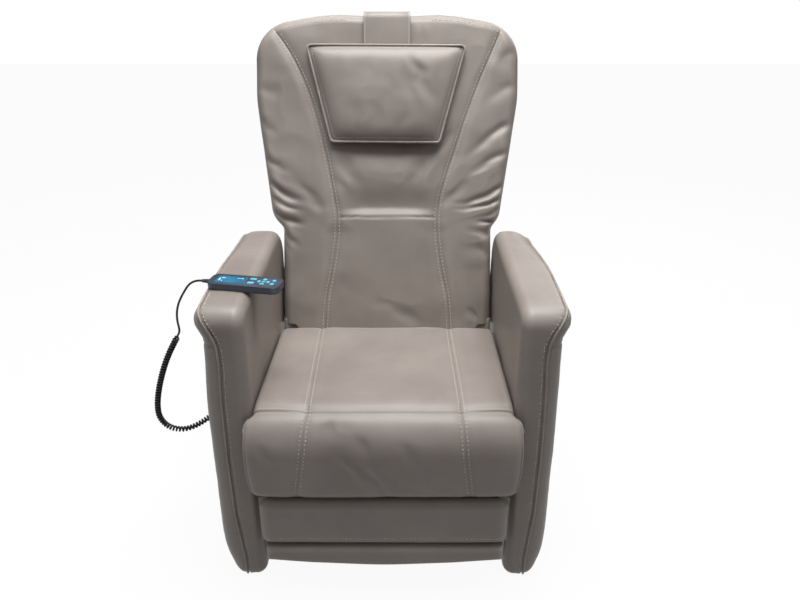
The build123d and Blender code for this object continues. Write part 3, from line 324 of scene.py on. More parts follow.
def material(name, dark, light, rough=(0.4, 0.5), scale=6, grain=None, bump=0.15, metal=0.0, sheen=0.0, coat=0.0,
             wear=None, glow=0.0):
    """Two colours mixed by uneven noise, uneven gloss, and a fine grain as bump."""
    m = bpy.data.materials.new(name)
    m.use_nodes = True
    nodes, links = m.node_tree.nodes, m.node_tree.links
    shader = nodes["Principled BSDF"]
    where = nodes.new("ShaderNodeTexCoord").outputs["Object"]
    cloud = nodes.new("ShaderNodeTexNoise")
    cloud.inputs["Scale"].default_value = scale
    cloud.inputs["Detail"].default_value = 5
    links.new(where, cloud.inputs["Vector"])
    ramp = nodes.new("ShaderNodeValToRGB")
    ramp.color_ramp.elements[0].position, ramp.color_ramp.elements[1].position = 0.3, 0.7
    ramp.color_ramp.elements[0].color, ramp.color_ramp.elements[1].color = dark, light
    links.new(cloud.outputs["Fac"], ramp.inputs["Fac"])
    colour = ramp.outputs["Color"]
    if wear:
        edge = nodes.new("ShaderNodeNewGeometry").outputs["Pointiness"]
        sharp = nodes.new("ShaderNodeMapRange")
        sharp.inputs["From Min"].default_value, sharp.inputs["From Max"].default_value = 0.5, 0.56
        links.new(edge, sharp.inputs["Value"])
        mix = nodes.new("ShaderNodeMix")
        mix.data_type = "RGBA"
        mix.inputs["B"].default_value = wear
        links.new(sharp.outputs["Result"], mix.inputs["Factor"])
        links.new(colour, mix.inputs["A"])
        colour = mix.outputs["Result"]
    links.new(colour, shader.inputs["Base Color"])
    gloss = nodes.new("ShaderNodeMapRange")
    gloss.inputs["To Min"].default_value, gloss.inputs["To Max"].default_value = rough
    links.new(cloud.outputs["Fac"], gloss.inputs["Value"])
    links.new(gloss.outputs["Result"], shader.inputs["Roughness"])
    shader.inputs["Metallic"].default_value = metal
    shader.inputs["Sheen Weight"].default_value = sheen
    shader.inputs["Coat Weight"].default_value = coat
    if grain:
        kind, size = grain
        fine = nodes.new("ShaderNodeTexVoronoi" if kind == "pebble" else "ShaderNodeTexNoise")
        fine.inputs["Scale"].default_value = size
        links.new(where, fine.inputs["Vector"])
        lift = nodes.new("ShaderNodeBump")
        lift.inputs["Strength"].default_value = bump
        lift.inputs["Distance"].default_value = 0.0012
        links.new(fine.outputs[0], lift.inputs["Height"])
        links.new(lift.outputs["Normal"], shader.inputs["Normal"])
    if glow:
        links.new(colour, shader.inputs["Emission Color"])
        shader.inputs["Emission Strength"].default_value = glow
    return m


LEATHER = material("taupe_leather", srgb(142, 133, 127), srgb(159, 150, 144), (0.36, 0.5), 7,
    ("pebble", 520), 0.16,
                   wear=srgb(180, 172, 165))
# The cushions' taupe leather a shade darker, for the pieces at the rear or tucked in: painted shade, not another
# leather.
SHADED_LEATHER = material("taupe_leather_shaded", srgb(133, 126, 120), srgb(150, 143, 137), (0.4, 0.54), 6,
                        ("pebble", 520), 0.16)
PIPING = material("piping_leather", srgb(152, 144, 137), srgb(176, 168, 161), (0.34, 0.46), 30, ("pebble", 900), 0.12)
THREAD = material("stitching", srgb(198, 191, 183), srgb(216, 210, 203), (0.6, 0.8), 200,
    ("noise", 2600), 0.3,
                  sheen=0.2)
CORD = material("cord_jacket", srgb(17, 17, 19), srgb(27, 27, 30), (0.36, 0.5), 40, ("noise", 1500), 0.1)

FINISHES = {
    "foam": material("cut_foam", srgb(196, 182, 140), srgb(216, 204, 165), (0.85, 0.95), 25,
        ("pebble", 420), 0.5),
    "lining": material("lining_cloth", srgb(38, 36, 35), srgb(56, 53, 51), (0.8, 0.95), 40, ("noise", 1500), 0.5),
    "plywood": material("birch_ply", srgb(186, 152, 108), srgb(210, 178, 134), (0.55, 0.7), 9,
        ("noise", 300), 0.2),
    "frame_paint": material("black_frame_paint", srgb(24, 24, 26), srgb(36, 36, 39), (0.38, 0.5), 14,
                            ("noise", 900), 0.1, wear=srgb(70, 70, 74)),
    "link_steel": material("zinc_links", srgb(136, 138, 142), srgb(170, 172, 176), (0.28, 0.46), 22,
                           ("noise", 700), 0.08, metal=0.9),
    "spring_steel": material("spring_wire", srgb(88, 88, 92), srgb(118, 118, 122), (0.3, 0.45), 40, ("noise", 900),
                             0.08, metal=0.9),
    "motor_plastic": material("motor_case", srgb(44, 45, 48), srgb(58, 59, 63), (0.45, 0.6), 12,
        ("noise", 1400), 0.2),
    "rod_steel": material("chrome_rod", srgb(190, 192, 196), srgb(214, 216, 220), (0.12, 0.22), 18, ("noise", 500),
                          0.04, metal=1.0),
    "black_plastic": material("black_moulding", srgb(22, 22, 24), srgb(34, 34, 37), (0.42, 0.56), 16,
                              ("noise", 1600), 0.2),
    "glide_rubber": material("rubber_glide", srgb(26, 26, 26), srgb(40, 39, 38), (0.7, 0.85), 20,
        ("noise", 900), 0.2),
    "handset_case": material("slate_case", srgb(33, 40, 54), srgb(45, 53, 68), (0.3, 0.42), 30,
        ("noise", 2600), 0.12,
                             wear=srgb(84, 93, 110)),
    "key_caps": material("lit_keys", srgb(70, 160, 186), srgb(110, 190, 210), (0.3, 0.4), 60, ("noise", 2600), 0.08,
                         glow=0.35),
    "cord_jacket": CORD,
    # CAD leather covers take the darker copy of the leather: painted shade.
    "leather_cover": SHADED_LEATHER,
}


def slot_of(obj):
    """The record's slot name of a CAD node, from the material it was packed with."""
    for s in obj.material_slots:
        for name in FINISHES:
            if s.material and s.material.name.startswith(name):
                return name
    return None


for name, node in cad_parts.items():
    chosen = slot_of(node)
    for s in node.material_slots:
        s.material = FINISHES[chosen or "black_plastic"]


# ---------------------------------------------------------------- camera
camera = bpy.data.objects.new("camera", bpy.data.cameras.new("camera"))
camera.location = (0.0351, -1.4978, 1.1723)
camera.rotation_euler = (radians(90 - 23.38), 0, radians(0.11))
camera.data.sensor_width = 36
camera.data.lens = 30.74
camera.data.clip_start = 0.05
scene.collection.objects.link(camera)
scene.camera = camera

# ---------------------------------------------------------------- handset cord
LEAD_ROUTE = [
    (-0.3678, -0.2142, 0.6597),
    (-0.3893, -0.2105, 0.6599),
    (-0.412, -0.211, 0.630),
    (-0.427, -0.211, 0.601),
    (-0.432, -0.210, 0.571),
    (-0.429, -0.2088, 0.544),
    (-0.436, -0.207, 0.532),
]
COIL_ROUTE = [
    (-0.436, -0.207, 0.532),
    (-0.471, -0.198, 0.472),
    (-0.498, -0.190, 0.404),
    (-0.514, -0.182, 0.345),
    (-0.517, -0.172, 0.303),
    (-0.501, -0.160, 0.269),
    (-0.468, -0.145, 0.255),
    (-0.430, -0.128, 0.268),
    (-0.400, -0.114, 0.290),
]
TAIL_ROUTE = [
    (-0.400, -0.114, 0.290),
    (-0.388, -0.1084, 0.2988),
    (-0.376, -0.105, 0.3015),
    (-0.364, -0.105, 0.3015),
]
WIRE = 4.5
COIL_RADIUS = 4.7  # of the helix that the wire's middle follows
COIL_PITCH = 7.4


def spline_line(points):
    """The points along the NURBS spline with these control points, in metres."""
    curve = bpy.data.curves.new("route", "CURVE")
    curve.dimensions = "3D"
    spline = curve.splines.new("NURBS")
    spline.points.add(len(points) - 1)
    for p, co in zip(spline.points, points):
        p.co = (*co, 1)
    spline.order_u = 3
    spline.use_endpoint_u = True
    spline.resolution_u = 24
    obj = bpy.data.objects.new("route", curve)
    scene.collection.objects.link(obj)
    bpy.context.view_layer.update()
    mesh = bpy.data.meshes.new_from_object(obj)
    line = np.array([v.co for v in mesh.vertices])
    bpy.data.objects.remove(obj)
    bpy.data.curves.remove(curve)
    bpy.data.meshes.remove(mesh)
    return line


def handset_cord():
    line = spline_line(LEAD_ROUTE + COIL_ROUTE[1:] + TAIL_ROUTE[1:]) * 1000
    s = lengths(line)
    near = lambda p: s[np.argmin(np.linalg.norm(line - np.array(p) * 1000, axis=1))]
    first, last = near(COIL_ROUTE[0]), near(COIL_ROUTE[-1])
    turns = (last - first) / COIL_PITCH
    at = np.r_[np.linspace(0, first, 60, endpoint=False),
               np.linspace(first, last, int(turns * 18), endpoint=False), np.linspace(last, s[-1], 16)]
    path = np.stack([np.interp(at, s, line[:, k]) for k in range(3)], 1)
    fine = spaced(line, 600)
    a, b = transported(fine)
    fs = lengths(fine)
    along = lambda q: np.stack([np.interp(at, fs, q[:, k]) for k in range(3)], 1)
    angle = 2 * pi * (np.clip(at, first, last) - first) / COIL_PITCH
    out = COIL_RADIUS * smooth(at, first, first + 9) * (1 - smooth(at, last - 9, last))
    path += out[:, None] * (along(a) * np.cos(angle)[:, None] + along(b) * np.sin(angle)[:, None])
    verts, faces = tube(path, WIRE / 2, 10)
    cord = add_piece("handset_cord", verts, faces, CORD)
    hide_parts("handset_lead", "handset_coil", "handset_tail")
    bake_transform(cord)


handset_cord()


# ---------------------------------------------------------------- back
def back_at(x, s, t):
    """A point of the back, from its own frame to the row frame."""
    return np.stack([x, PIVOT[0] + s * sin(LEAN) + t * cos(LEAN),
        PIVOT[1] + s * cos(LEAN) - t * sin(LEAN)], -1)


FRONT = -50  # the back's front plane, from the pivot
EDGE = 26  # rounding along its front edges
OUT_NORMAL = np.array([0, -cos(LEAN), sin(LEAN)])
right_side = rounded([(258.5, 47), (258.5, 286), (279, 312), (322, 600), (322, 775), (150, 805), (0, 805)],
                     [20, 60, 300, 95, 600])
foot = line_of([(156, 4), (200, 4), (213, 26), (226, 45), (258.5, 47)])
mirrored = lambda line: line * [-1, 1]
left_side = mirrored(rounded([(258.5, 47), (258.5, 286), (285, 314), (322, 600),
    (322, 775), (150, 805), (0, 805)],
                             [20, 60, 300, 95, 600]))
OUTLINE = np.vstack([right_side, left_side[::-1]])
SEAM_R = flowing([(156, 4), (149, 106), (137, 168), (126, 241), (123, 310), (129, 352), (143, 405), (163, 465),
                  (190, 548), (224, 638), (252, 704), (281.5, 772.8)])
SEAM_L = flowing([(-156, 4), (-149, 106), (-137, 168), (-126, 241), (-123, 310), (-129, 352), (-143, 432),
                  (-163, 523), (-190, 612), (-222, 684), (-250, 730), (-281.5, 772.8)])
EDGE_R = OUTLINE[: np.argmin(np.hypot(*(OUTLINE - [304.8, 749.5]).T)) + 1]
EDGE_L = left_side[: np.argmin(np.hypot(*(left_side + [304.8, -749.5]).T)) + 1]
top_right = OUTLINE[len(EDGE_R) - 1 : np.argmin(np.hypot(*(OUTLINE - [281.5, 772.8]).T)) + 1]
top_right = np.vstack([top_right, SEAM_R[-1]])
end = np.argmin(np.hypot(*(OUTLINE - [281.5, 772.8]).T))
start_l = np.argmin(np.hypot(*(OUTLINE - [-281.5, 772.8]).T))
TOP = np.vstack([SEAM_L[-1], OUTLINE[end + 1 : start_l][::-1], SEAM_R[-1]])

LEFT_FOLDS = [
    ([(-312, 500), (-296, 458), (-262, 432), (-225, 420)], 8, 5.5),
    ([(-300, 414), (-268, 378), (-228, 356), (-182, 347)], 8, 9),
    ([(-292, 372), (-262, 345), (-230, 331), (-196, 327)], 6, 5),
    ([(-288, 333), (-256, 309), (-222, 298), (-190, 294)], 7, 8.5),
    ([(-278, 303), (-256, 276), (-232, 250), (-205, 228)], 7, 7),
    ([(-262, 262), (-246, 238), (-228, 214)], 8, 3.5),
    ([(-150, 318), (-178, 352), (-214, 396), (-236, 440)], 14, 4.5),
    ([(-318, 560), (-290, 525), (-255, 505)], 12, 3),
    ([(-312, 640), (-282, 612), (-240, 592)], 16, 2.4),
]
RIGHT_FOLDS = [
    ([(177, 440), (224, 486), (268, 518), (312, 544)][::-1], 11, 6),
    ([(170, 398), (214, 424), (262, 452), (306, 474)][::-1], 10, 5),
    ([(300, 402), (262, 372), (206, 348), (142, 336)], 7.5, 9),
    ([(296, 368), (258, 346), (200, 331), (140, 327)], 6, 8),
    ([(284, 340), (256, 318), (226, 304)], 5, 5),
    ([(278, 303), (250, 299), (214, 299)], 5, 8.5),
    ([(268, 262), (232, 272), (182, 284)], 10, 4),
    ([(262, 214), (230, 232), (188, 250)], 14, 3),
    ([(312, 640), (262, 606), (216, 590)], 16, 3),
    ([(318, 720), (282, 690), (248, 680)], 14, 2.6),
    ([(130, 330), (160, 362), (206, 404), (240, 420)], 14, 4),
]
CENTRE_FOLDS = [
    ([(168, 530), (136, 492), (108, 462), (84, 430)], 12, 5),
    ([(112, 480), (86, 430), (60, 392), (40, 350)], 17, 4.5),
    ([(-118, 484), (-96, 430), (-70, 388), (-44, 350)], 18, 4.5),
    ([(-124, 420), (-104, 372), (-86, 338)], 12, 3),
    ([(0, 84), (58, 66), (110, 30)], 13, 3.2),
    ([(-60, 100), (30, 94), (112, 66)], 18, 2.4),
    ([(228, 52), (214, 70), (190, 86)], 8, 4),
    ([(62, 790), (64, 760), (68, 726)], 5, 1.8),
    ([(82, 786), (84, 758), (84, 730)], 5, 1.5),
]


def back_depth(x, s):
    """How far the back's leather lies behind its front plane."""
    e = np.abs(nearest(x, s, OUTLINE)[0])
    f = EDGE - np.sqrt(EDGE**2 - np.clip(EDGE - e, 0, EDGE) ** 2)
    f += 5.5 * np.exp(-e / 38)
    for seam in (SEAM_L, SEAM_R):
        d, t = nearest(x, s, seam)
        length = lengths(seam)[-1]
        keep = smooth(e, 2, 26)
        f += keep * seam_dip(d, t * length, 4.2 + 1.8 * np.exp(-(((s - 320) / 60) ** 2)))
    # the roll of leather that hangs below the pillow, the fold under it, and the slit seam
    inside = 1 - smooth(np.abs(x), 52, 138)
    sag = 8 * (np.abs(x) / 120) ** 2
    f += inside * 9 * smooth(s, 405 + sag, 482)
    f += inside * 12 * np.exp(-(((s - 336 + 0.4 * sag) / np.where(s > 336, 40, 15)) ** 2))
    f += 3.4 * np.exp(-(((s - 310) / 2.0) ** 2)) * (1 - smooth(np.abs(x), 112, 122))
    f -= inside * 2.0 * np.exp(-(((s - 303) / 5.5) ** 2))
    f += 3.0 * smooth(np.abs(x), 40, 130) * (1 - smooth(s, 270, 300)) * (1 - smooth(np.abs(x), 130, 160))
    f += 3.5 * (1 - smooth(s, 46, 110))
    # the top seam, just inside the outline
    f += 2.6 * np.exp(-(((e - 13) / 2.2) ** 2)) * smooth(s, 752, 772)
    edge_fade = smooth(e, 0, 14) * 0.75 + 0.25
    f += creases(x, s, LEFT_FOLDS, 0.25, 0.3) * (1 - smooth(x, -126, -110)) * edge_fade
    f += creases(x, s, RIGHT_FOLDS, 0.25, 0.3) * smooth(x, 110, 126) * edge_fade
    f += creases(x, s, CENTRE_FOLDS, 0.4, 0.25) * edge_fade
    f += 1.3 * uneven(x, s, 70) + 0.6 * uneven(x, s, 28, 2) + 1.2 * smooth(np.abs(x), 130, 240) * uneven(x, s, 45, 4)
    return np.maximum(f, 0.2)


def build_back():
    side_u = spread(120, 3.6)
    mid_u = spread(300, 4.2)
    v = spread(800, 3.4)
    wing_r = coons(foot, top_right[::-1], SEAM_R, EDGE_R, side_u, v)
    wing_l = coons(mirrored(foot)[::-1], mirrored(top_right), EDGE_L, SEAM_L, side_u, v)
    centre = coons(line_of([(-156, 4), (156, 4)]), TOP, SEAM_L, SEAM_R, mid_u, v)
    patch = np.concatenate([wing_l[:, :-1], centre, wing_r[:, 1:]], 1)
    x, s = patch[..., 0], patch[..., 1]
    front = FRONT + back_depth(x, s)
    rear = np.full(np.shape(x), 60.0) + 0.0 * x
    verts, faces = slab(patch, front, rear,
                        [(0.06, -0.6), (0.16, -1.0), (0.32, -1.2), (0.5, -1.0), (0.68, -0.8),
                            (0.84, 0), (0.95, 0.8)])
    back = add_piece("back_cushion", back_at(*verts.T), faces, LEATHER, "back")
    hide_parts("back_cover", "back_foam")
    return patch


def build_back_trim():
    rows = []
    for seam in (SEAM_L, SEAM_R):
        line = spaced(seam, 300)
        t = np.gradient(line, axis=0)
        t /= np.linalg.norm(t, axis=1)[:, None]
        across = np.stack([t[:, 1], -t[:, 0]], 1)
        for off in (-5.5, 5.5):
            p = (line + across * off)[4:-9]
            rows.append((p, FRONT + back_depth(p[:, 0], p[:, 1])))
    top = OUTLINE[(OUTLINE[:, 1] > 764)]
    t = np.gradient(top, axis=0)
    t /= np.linalg.norm(t, axis=1)[:, None]
    inner = top + np.stack([-t[:, 1], t[:, 0]], 1) * 19
    for part in (inner[inner[:, 0] > 62], inner[inner[:, 0] < -62]):
        part = spaced(part, 120)
        rows.append((part, FRONT + back_depth(part[:, 0], part[:, 1])))
    parts = []
    for p, t in rows:
        line = back_at(p[:, 0], p[:, 1], t)
        parts.append(stitches(line, np.tile(OUT_NORMAL, (len(line), 1))))
    add_piece("back_stitching", *join(*parts), THREAD, "back")
    # piping where the front cover meets the rear panel
    ring = spaced(OUTLINE, 420)
    a = back_at(ring[:, 0] * 0.999, ring[:, 1] - 0.5, np.full(len(ring), 58.0))
    add_piece("back_piping", *tube(a, 2.6, 8), PIPING, "back")


def build_rear_panel():
    u, v = spread(500, 9), spread(700, 9)
    side = rounded([(246, 52), (246, 290), (262, 312), (310, 600), (310, 764), (148, 793)], [20, 60, 300, 90])
    low = line_of([(-246, 52), (246, 52)])
    end = side[-1]
    patch = coons(low, line_of([mirrored(end[None])[0], (0, 793), end]), mirrored(side), side, u, v)
    x, s = patch[..., 0], patch[..., 1]
    e = np.abs(nearest(x, s, np.vstack([side, mirrored(side)[::-1], side[:1]]))[0])
    puff = 6 - np.sqrt(36 - np.clip(6 - e, 0, 6) ** 2)
    seam = 1.6 * np.exp(-(((s - 330) / 2.2) ** 2)) + 1.2 * np.exp(-(((s - 330) / 12) ** 2))
    rear = 67.7 - puff - seam - 0.6 * (1 + uneven(x, s, 120, 7)) - 0.5 * (1 + uneven(x, s, 40, 8))
    verts, faces = slab(patch, np.full(x.shape, 58.5), rear, [(0.5, -0.5)])
    # the rear panel takes the darker copy of the leather: painted shade
    panel = add_piece("back_rear_leather", back_at(*verts.T), faces, SHADED_LEATHER, "back")
    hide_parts("back_rear_panel")
    lines = []
    for off in (-6, 6):
        x = np.linspace(-262, 262, 90)
        lines.append(stitches(back_at(x * 0.93, np.full(90, 330.0 + off), np.full(90, 66.6)),
                              np.tile(-OUT_NORMAL, (90, 1))))
    add_piece("rear_stitching", *join(*lines), THREAD, "back")


def build_corner_flaps():
    """The cover's lower corners, tucked down in front of the hinge plates."""
    parts = []
    for sign in (-1, 1):
        patch, f = rectangle_pad(206, 257.5, 8, 60, 4, 6, 5)
        verts, faces = slab(patch, -36 + f, np.full(f.shape, -29.0), [(0.5, -0.2)])
        verts[:, 0] *= sign
        parts.append((back_at(*verts.T), faces if sign > 0 else [tuple(q)[::-1] for q in faces]))
    # the tucked corner flaps take the darker copy of the leather: painted shade
    flaps = add_piece("back_corner_flaps", *join(*parts), SHADED_LEATHER, "back")


build_back()
build_back_trim()
build_rear_panel()


# ---------------------------------------------------------------- pillow, strap and counterweight
PILLOW_CORNERS = [(-135, 491), (127, 489), (190, 719), (-193, 721)]
PILLOW_LINE = rounded(PILLOW_CORNERS, [9, 9, 9, 9], closed=True)
PILLOW_FOLDS = [
    ([(44, 712), (72, 660), (98, 612), (140, 566)], 16, 5.0),
    ([(22, 690), (50, 632), (70, 580), (82, 520)], 17, 3.2),
    ([(-66, 500), (-76, 552), (-66, 620)], 20, 2.4),
    ([(-24, 496), (-26, 548), (-40, 612)], 19, 2.0),
    ([(146, 690), (122, 624), (112, 550)], 18, 2.8),
    ([(24, 492), (36, 534), (66, 580)], 16, 2.2),
]


def pillow_depth(x, s):
    """How far the pillow's face lies behind its foremost plane."""
    e = np.abs(nearest(x, s, PILLOW_LINE)[0])
    steep, broad = 1, 1
    for a, b in zip(PILLOW_CORNERS, PILLOW_CORNERS[1:] + PILLOW_CORNERS[:1]):
        run, rise = b[0] - a[0], b[1] - a[1]
        d = np.clip(((s - a[1]) * run - (x - a[0]) * rise) / np.hypot(run, rise), 0, None)
        steep = steep * (1 - np.exp(-((d / 17) ** 1.25)))
        broad = broad * (1 - 0.85 * np.exp(-d / 38))
    f = 19 * (1 - steep) + 9 * (1 - broad)
    f += 1.2 * np.exp(-(((e - 9) / 1.8) ** 2))
    f += creases(x, s, PILLOW_FOLDS, 0.45, 0.25) * smooth(e, 4, 20)
    f += smooth(e, 6, 26) * (1.2 * uneven(x, s, 60, 1) + 0.5 * uneven(x, s, 24, 3))
    return np.maximum(f, 0.3)


def build_pillow():
    u, v = spread(320, 4), spread(228, 4)
    a, b, c, d = PILLOW_CORNERS
    patch = coons(line_of([a, b]), line_of([d, (0, 718.5), c]), line_of([a, d]), line_of([b, c]), u, v)
    x, s = patch[..., 0], patch[..., 1]
    front = -88 + pillow_depth(x, s)
    e = np.abs(nearest(x, s, PILLOW_LINE)[0])
    rear = -50.6 - 9 * np.exp(-((e / 10) ** 1.4))
    verts, faces = slab(patch, front, rear, [(0.3, -0.4), (0.7, -0.2)])
    pillow = add_piece("head_pillow_leather", back_at(*verts.T), faces, LEATHER, "pillow")
    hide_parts("head_pillow")
    ring = spaced(PILLOW_LINE, 330)
    pipe = back_at(ring[:, 0], ring[:, 1], np.full(len(ring), -63.5))
    edge = add_piece("pillow_piping", *tube(pipe, 2.9, 8), PIPING, "pillow")
    inner = rounded([(119, 498), (179, 710), (-182, 712), (-127, 500)], [8, 8, 8, 8], closed=True)
    inner = spaced(inner, 300)
    line = back_at(inner[:, 0], inner[:, 1], -88 + pillow_depth(inner[:, 0], inner[:, 1]))
    add_piece("pillow_stitching", *stitches(line, np.tile(OUT_NORMAL, (300, 1)), 6.5), THREAD, "pillow")


def band(path, half, thick):
    """A flat leather strap with folded edges along a path of (s, t) points in the back's frame."""
    line = spaced(path, max(24, int(lengths(path)[-1] / 4)))
    d = np.gradient(line, axis=0)
    d /= np.linalg.norm(d, axis=1)[:, None]
    normal = np.stack([-d[:, 1], d[:, 0]], 1)
    x = half * np.array([-1, -0.985, -0.95, -0.915, -0.89, -0.5, 0, 0.5, 0.89, 0.915, 0.95, 0.985, 1])
    lift = thick * np.array([0.45, 0.85, 1.0, 0.95, 0.62, 0.66, 0.68, 0.66, 0.62, 0.95, 1.0, 0.85, 0.45])
    n, m = len(line), len(x)
    outer = line[:, None] + normal[:, None] * lift[None, :, None]
    inner = line[:, None] + normal[:, None] * 0.15 * np.ones(m)[None, :, None]
    xs = np.broadcast_to(x, (n, m))
    ring = np.concatenate([np.dstack([xs, outer]), np.dstack([xs, inner])[:, ::-1]], 1)
    ring = np.concatenate([ring, ring[:, :1]], 1)
    verts = ring.reshape(-1, 3)
    faces = quads(n, 2 * m + 1).tolist()
    faces += [list(range(2 * m)), list(range((n - 1) * (2 * m + 1), (n - 1) * (2 * m + 1) + 2 * m))]
    return back_at(*verts.T), faces


def build_strap():
    over = rounded([(716, -53), (790, -51.5), (806.2, -48), (806.2, 68.6), (735, 69)], [24, 18, 18])
    top = np.argmin(np.abs(over[:, 1] - 8))
    front, rear = over[: top + 1], over[top:]
    half = 56
    a = add_piece("pillow_strap_front", *band(front[::-1], half, 2.6), LEATHER)
    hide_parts("pillow_strap")
    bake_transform(a)
    rear = np.vstack([rear, [(600, 69.5), (560, 70)]])
    # the strap's rear half takes the darker copy of the same leather: painted shade
    b = add_piece("pillow_strap_rear", *band(rear[::-1], half, 2.6), SHADED_LEATHER)
    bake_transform(b)


def rectangle_pad(x0, x1, s0, s1, step, edge, thick):
    """A patch over a rectangle, and its face's rounded depth."""
    patch = coons(line_of([(x0, s0), (x1, s0)]), line_of([(x0, s1), (x1, s1)]), line_of([(x0, s0), (x0, s1)]),
                  line_of([(x1, s0), (x1, s1)]), spread(x1 - x0, step), spread(s1 - s0, step))
    x, s = patch[..., 0], patch[..., 1]
    ex = np.minimum(x - x0, x1 - x)
    es = np.minimum(s - s0, s1 - s)
    d = np.hypot(np.clip(edge - ex, 0, edge), np.clip(edge - es, 0, edge))
    return patch, thick * (1 - np.sqrt(np.clip(1 - (d / edge) ** 2, 0, 1)))


def build_counterweight():
    patch, f = rectangle_pad(-55.5, 55.5, 470.5, 599.5, 5, 9, 9)
    x, s = patch[..., 0], patch[..., 1]
    rear = 82 - np.clip(f, 0, 9) - 0.6 * uneven(x, s, 30) - 0.6 - 1.2 * np.exp(-(((s - 588) / 1.6) ** 2))
    verts, faces = slab(patch, 69 + 0.35 * np.clip(f, 0, 9), rear, [(0.5, -0.2)])
    # the pouch at the rear takes the darker copy of the leather: painted shade
    bag = add_piece("counterweight_pouch", back_at(*verts.T), faces, SHADED_LEATHER, "counterweight")
    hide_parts("pillow_counterweight")


build_pillow()
build_strap()
build_counterweight()
build_corner_flaps()

# ---------------------------------------------------------------- seat
SEAT_ROUND = 15
PROFILE = rounded([(-15, 319.3), (30.6, 445), (-400, 445), (-400, 255), (-352, 255), (-352, 319.3)],
                  [8, 14, 84, 24, 20, 8], closed=True)
PROFILE = spaced(PROFILE, 470)
SEAT_S = lengths(PROFILE)
TOP_AT = lambda y: SEAT_S[np.argmin(np.hypot(PROFILE[:, 0] - y, PROFILE[:, 1] - 445))]
CROSS = TOP_AT(-352)  # where the cross seam lies along the profile
LOW = SEAT_S[np.argmin(np.hypot(PROFILE[:, 0] + 394, PROFILE[:, 1] - 261))]
SEAT_L = line_of([(TOP_AT(20), -159), (TOP_AT(-150), -155), (CROSS, -150), (CROSS + 90, -159), (LOW, -174)])
SEAT_R = line_of([(TOP_AT(20), 151), (TOP_AT(-150), 153), (CROSS, 155), (CROSS + 90, 161), (LOW, 175)])
d_profile = np.gradient(PROFILE, axis=0)
d_profile[0] = d_profile[-1] = PROFILE[1] - PROFILE[-2]
d_profile /= np.linalg.norm(d_profile, axis=1)[:, None]
SEAT_N = np.stack([d_profile[:, 1], -d_profile[:, 0]], 1)
ROLL_FOLDS = [
    ([(CROSS + 78, -98), (CROSS + 112, -62), (CROSS + 150, -26), (CROSS + 186, 2), (CROSS + 214, 40)], 11, 5.5),
    ([(CROSS + 96, -36), (CROSS + 134, 0), (CROSS + 176, 26), (CROSS + 206, 52)], 12, 4.2),
    ([(CROSS + 60, 26), (CROSS + 92, 52), (CROSS + 140, 84)], 15, 3.2),
    ([(CROSS + 44, -60), (CROSS + 76, -36), (CROSS + 104, -12)], 14, 3.2),
    ([(CROSS + 120, 96), (CROSS + 150, 82), (CROSS + 184, 84)], 13, 2.4),
    ([(CROSS + 66, -252), (CROSS + 96, -226), (CROSS + 118, -196)], 10, 2.6),
    ([(CROSS + 18, -92), (CROSS + 40, -104), (CROSS + 70, -100)], 14, 2.4),
    ([(TOP_AT(14), -110), (TOP_AT(4), -60), (TOP_AT(8), -10)], 8, 1.6),
    ([(TOP_AT(10), 60), (TOP_AT(-6), 110), (TOP_AT(0), 140)], 9, 1.8),
]


def seat_half(a):
    """Half width of the seat at a place along its profile."""
    y = np.interp(a, SEAT_S, PROFILE[:, 0])
    z = np.interp(a, SEAT_S, PROFILE[:, 1])
    wide = INNER - 1.2 + 15.5 * smooth(-y, 347.5, 376)
    return wide - 6.5 * smooth(-z, -330, -262) * smooth(-y, 350, 372)


def seat_depth(a, x):
    w = seat_half(a)
    e = np.clip(w - np.abs(x), 0, None)
    g = SEAT_ROUND - np.sqrt(SEAT_ROUND**2 - np.clip(SEAT_ROUND - e, 0, SEAT_ROUND) ** 2)
    g = g + 5 * np.exp(-e / 30)
    upper = smooth(a, TOP_AT(30) - 10, TOP_AT(18)) * (1 - smooth(a, LOW - 4, LOW + 16))
    for seam in (SEAT_L, SEAT_R):
        d, t = nearest(a, x, seam)
        span = lengths(seam)[-1]
        g = g + upper * seam_dip(d, t * span, 2.6, 1.5, 0.45)
    cross = CROSS - 7 * smooth(np.abs(x) / 262, 0.35, 1.0) + 4
    d = a - cross
    near_end = smooth(np.abs(x), 170, 225)
    g = g + (1.6 + 1.8 * near_end) * np.exp(-((d / 1.8) ** 2)) + (2.4 + near_end) * np.exp(-((d / 14) ** 2))
    g = g - 1.5 * near_end * np.exp(-(((d + 5) / 3.2) ** 2))
    g = g + creases(a, x, ROLL_FOLDS, 0.45, 0.25) * smooth(e, 4, 26)
    # the roll is fullest half way down and the top is a little hollow behind it
    g = g - 2.5 * np.exp(-(((a - CROSS - 85) / 60) ** 2)) * smooth(e, 0, 40)
    g = g + 2.2 * np.exp(-(((a - TOP_AT(-120)) / 90) ** 2)) * (1 - np.abs(x) / 300)
    g = g + smooth(e, 0, 20) * (0.9 * uneven(a, x, 80, 2) + 0.35 * uneven(a, x, 26, 5)) * upper
    return g


def seat_at(a, x, depth):
    y = np.interp(a, SEAT_S, PROFILE[:, 0])
    z = np.interp(a, SEAT_S, PROFILE[:, 1])
    ny, nz = np.interp(a, SEAT_S, SEAT_N[:, 0]), np.interp(a, SEAT_S, SEAT_N[:, 1])
    return np.stack([x, y - ny * depth, z - nz * depth], -1)


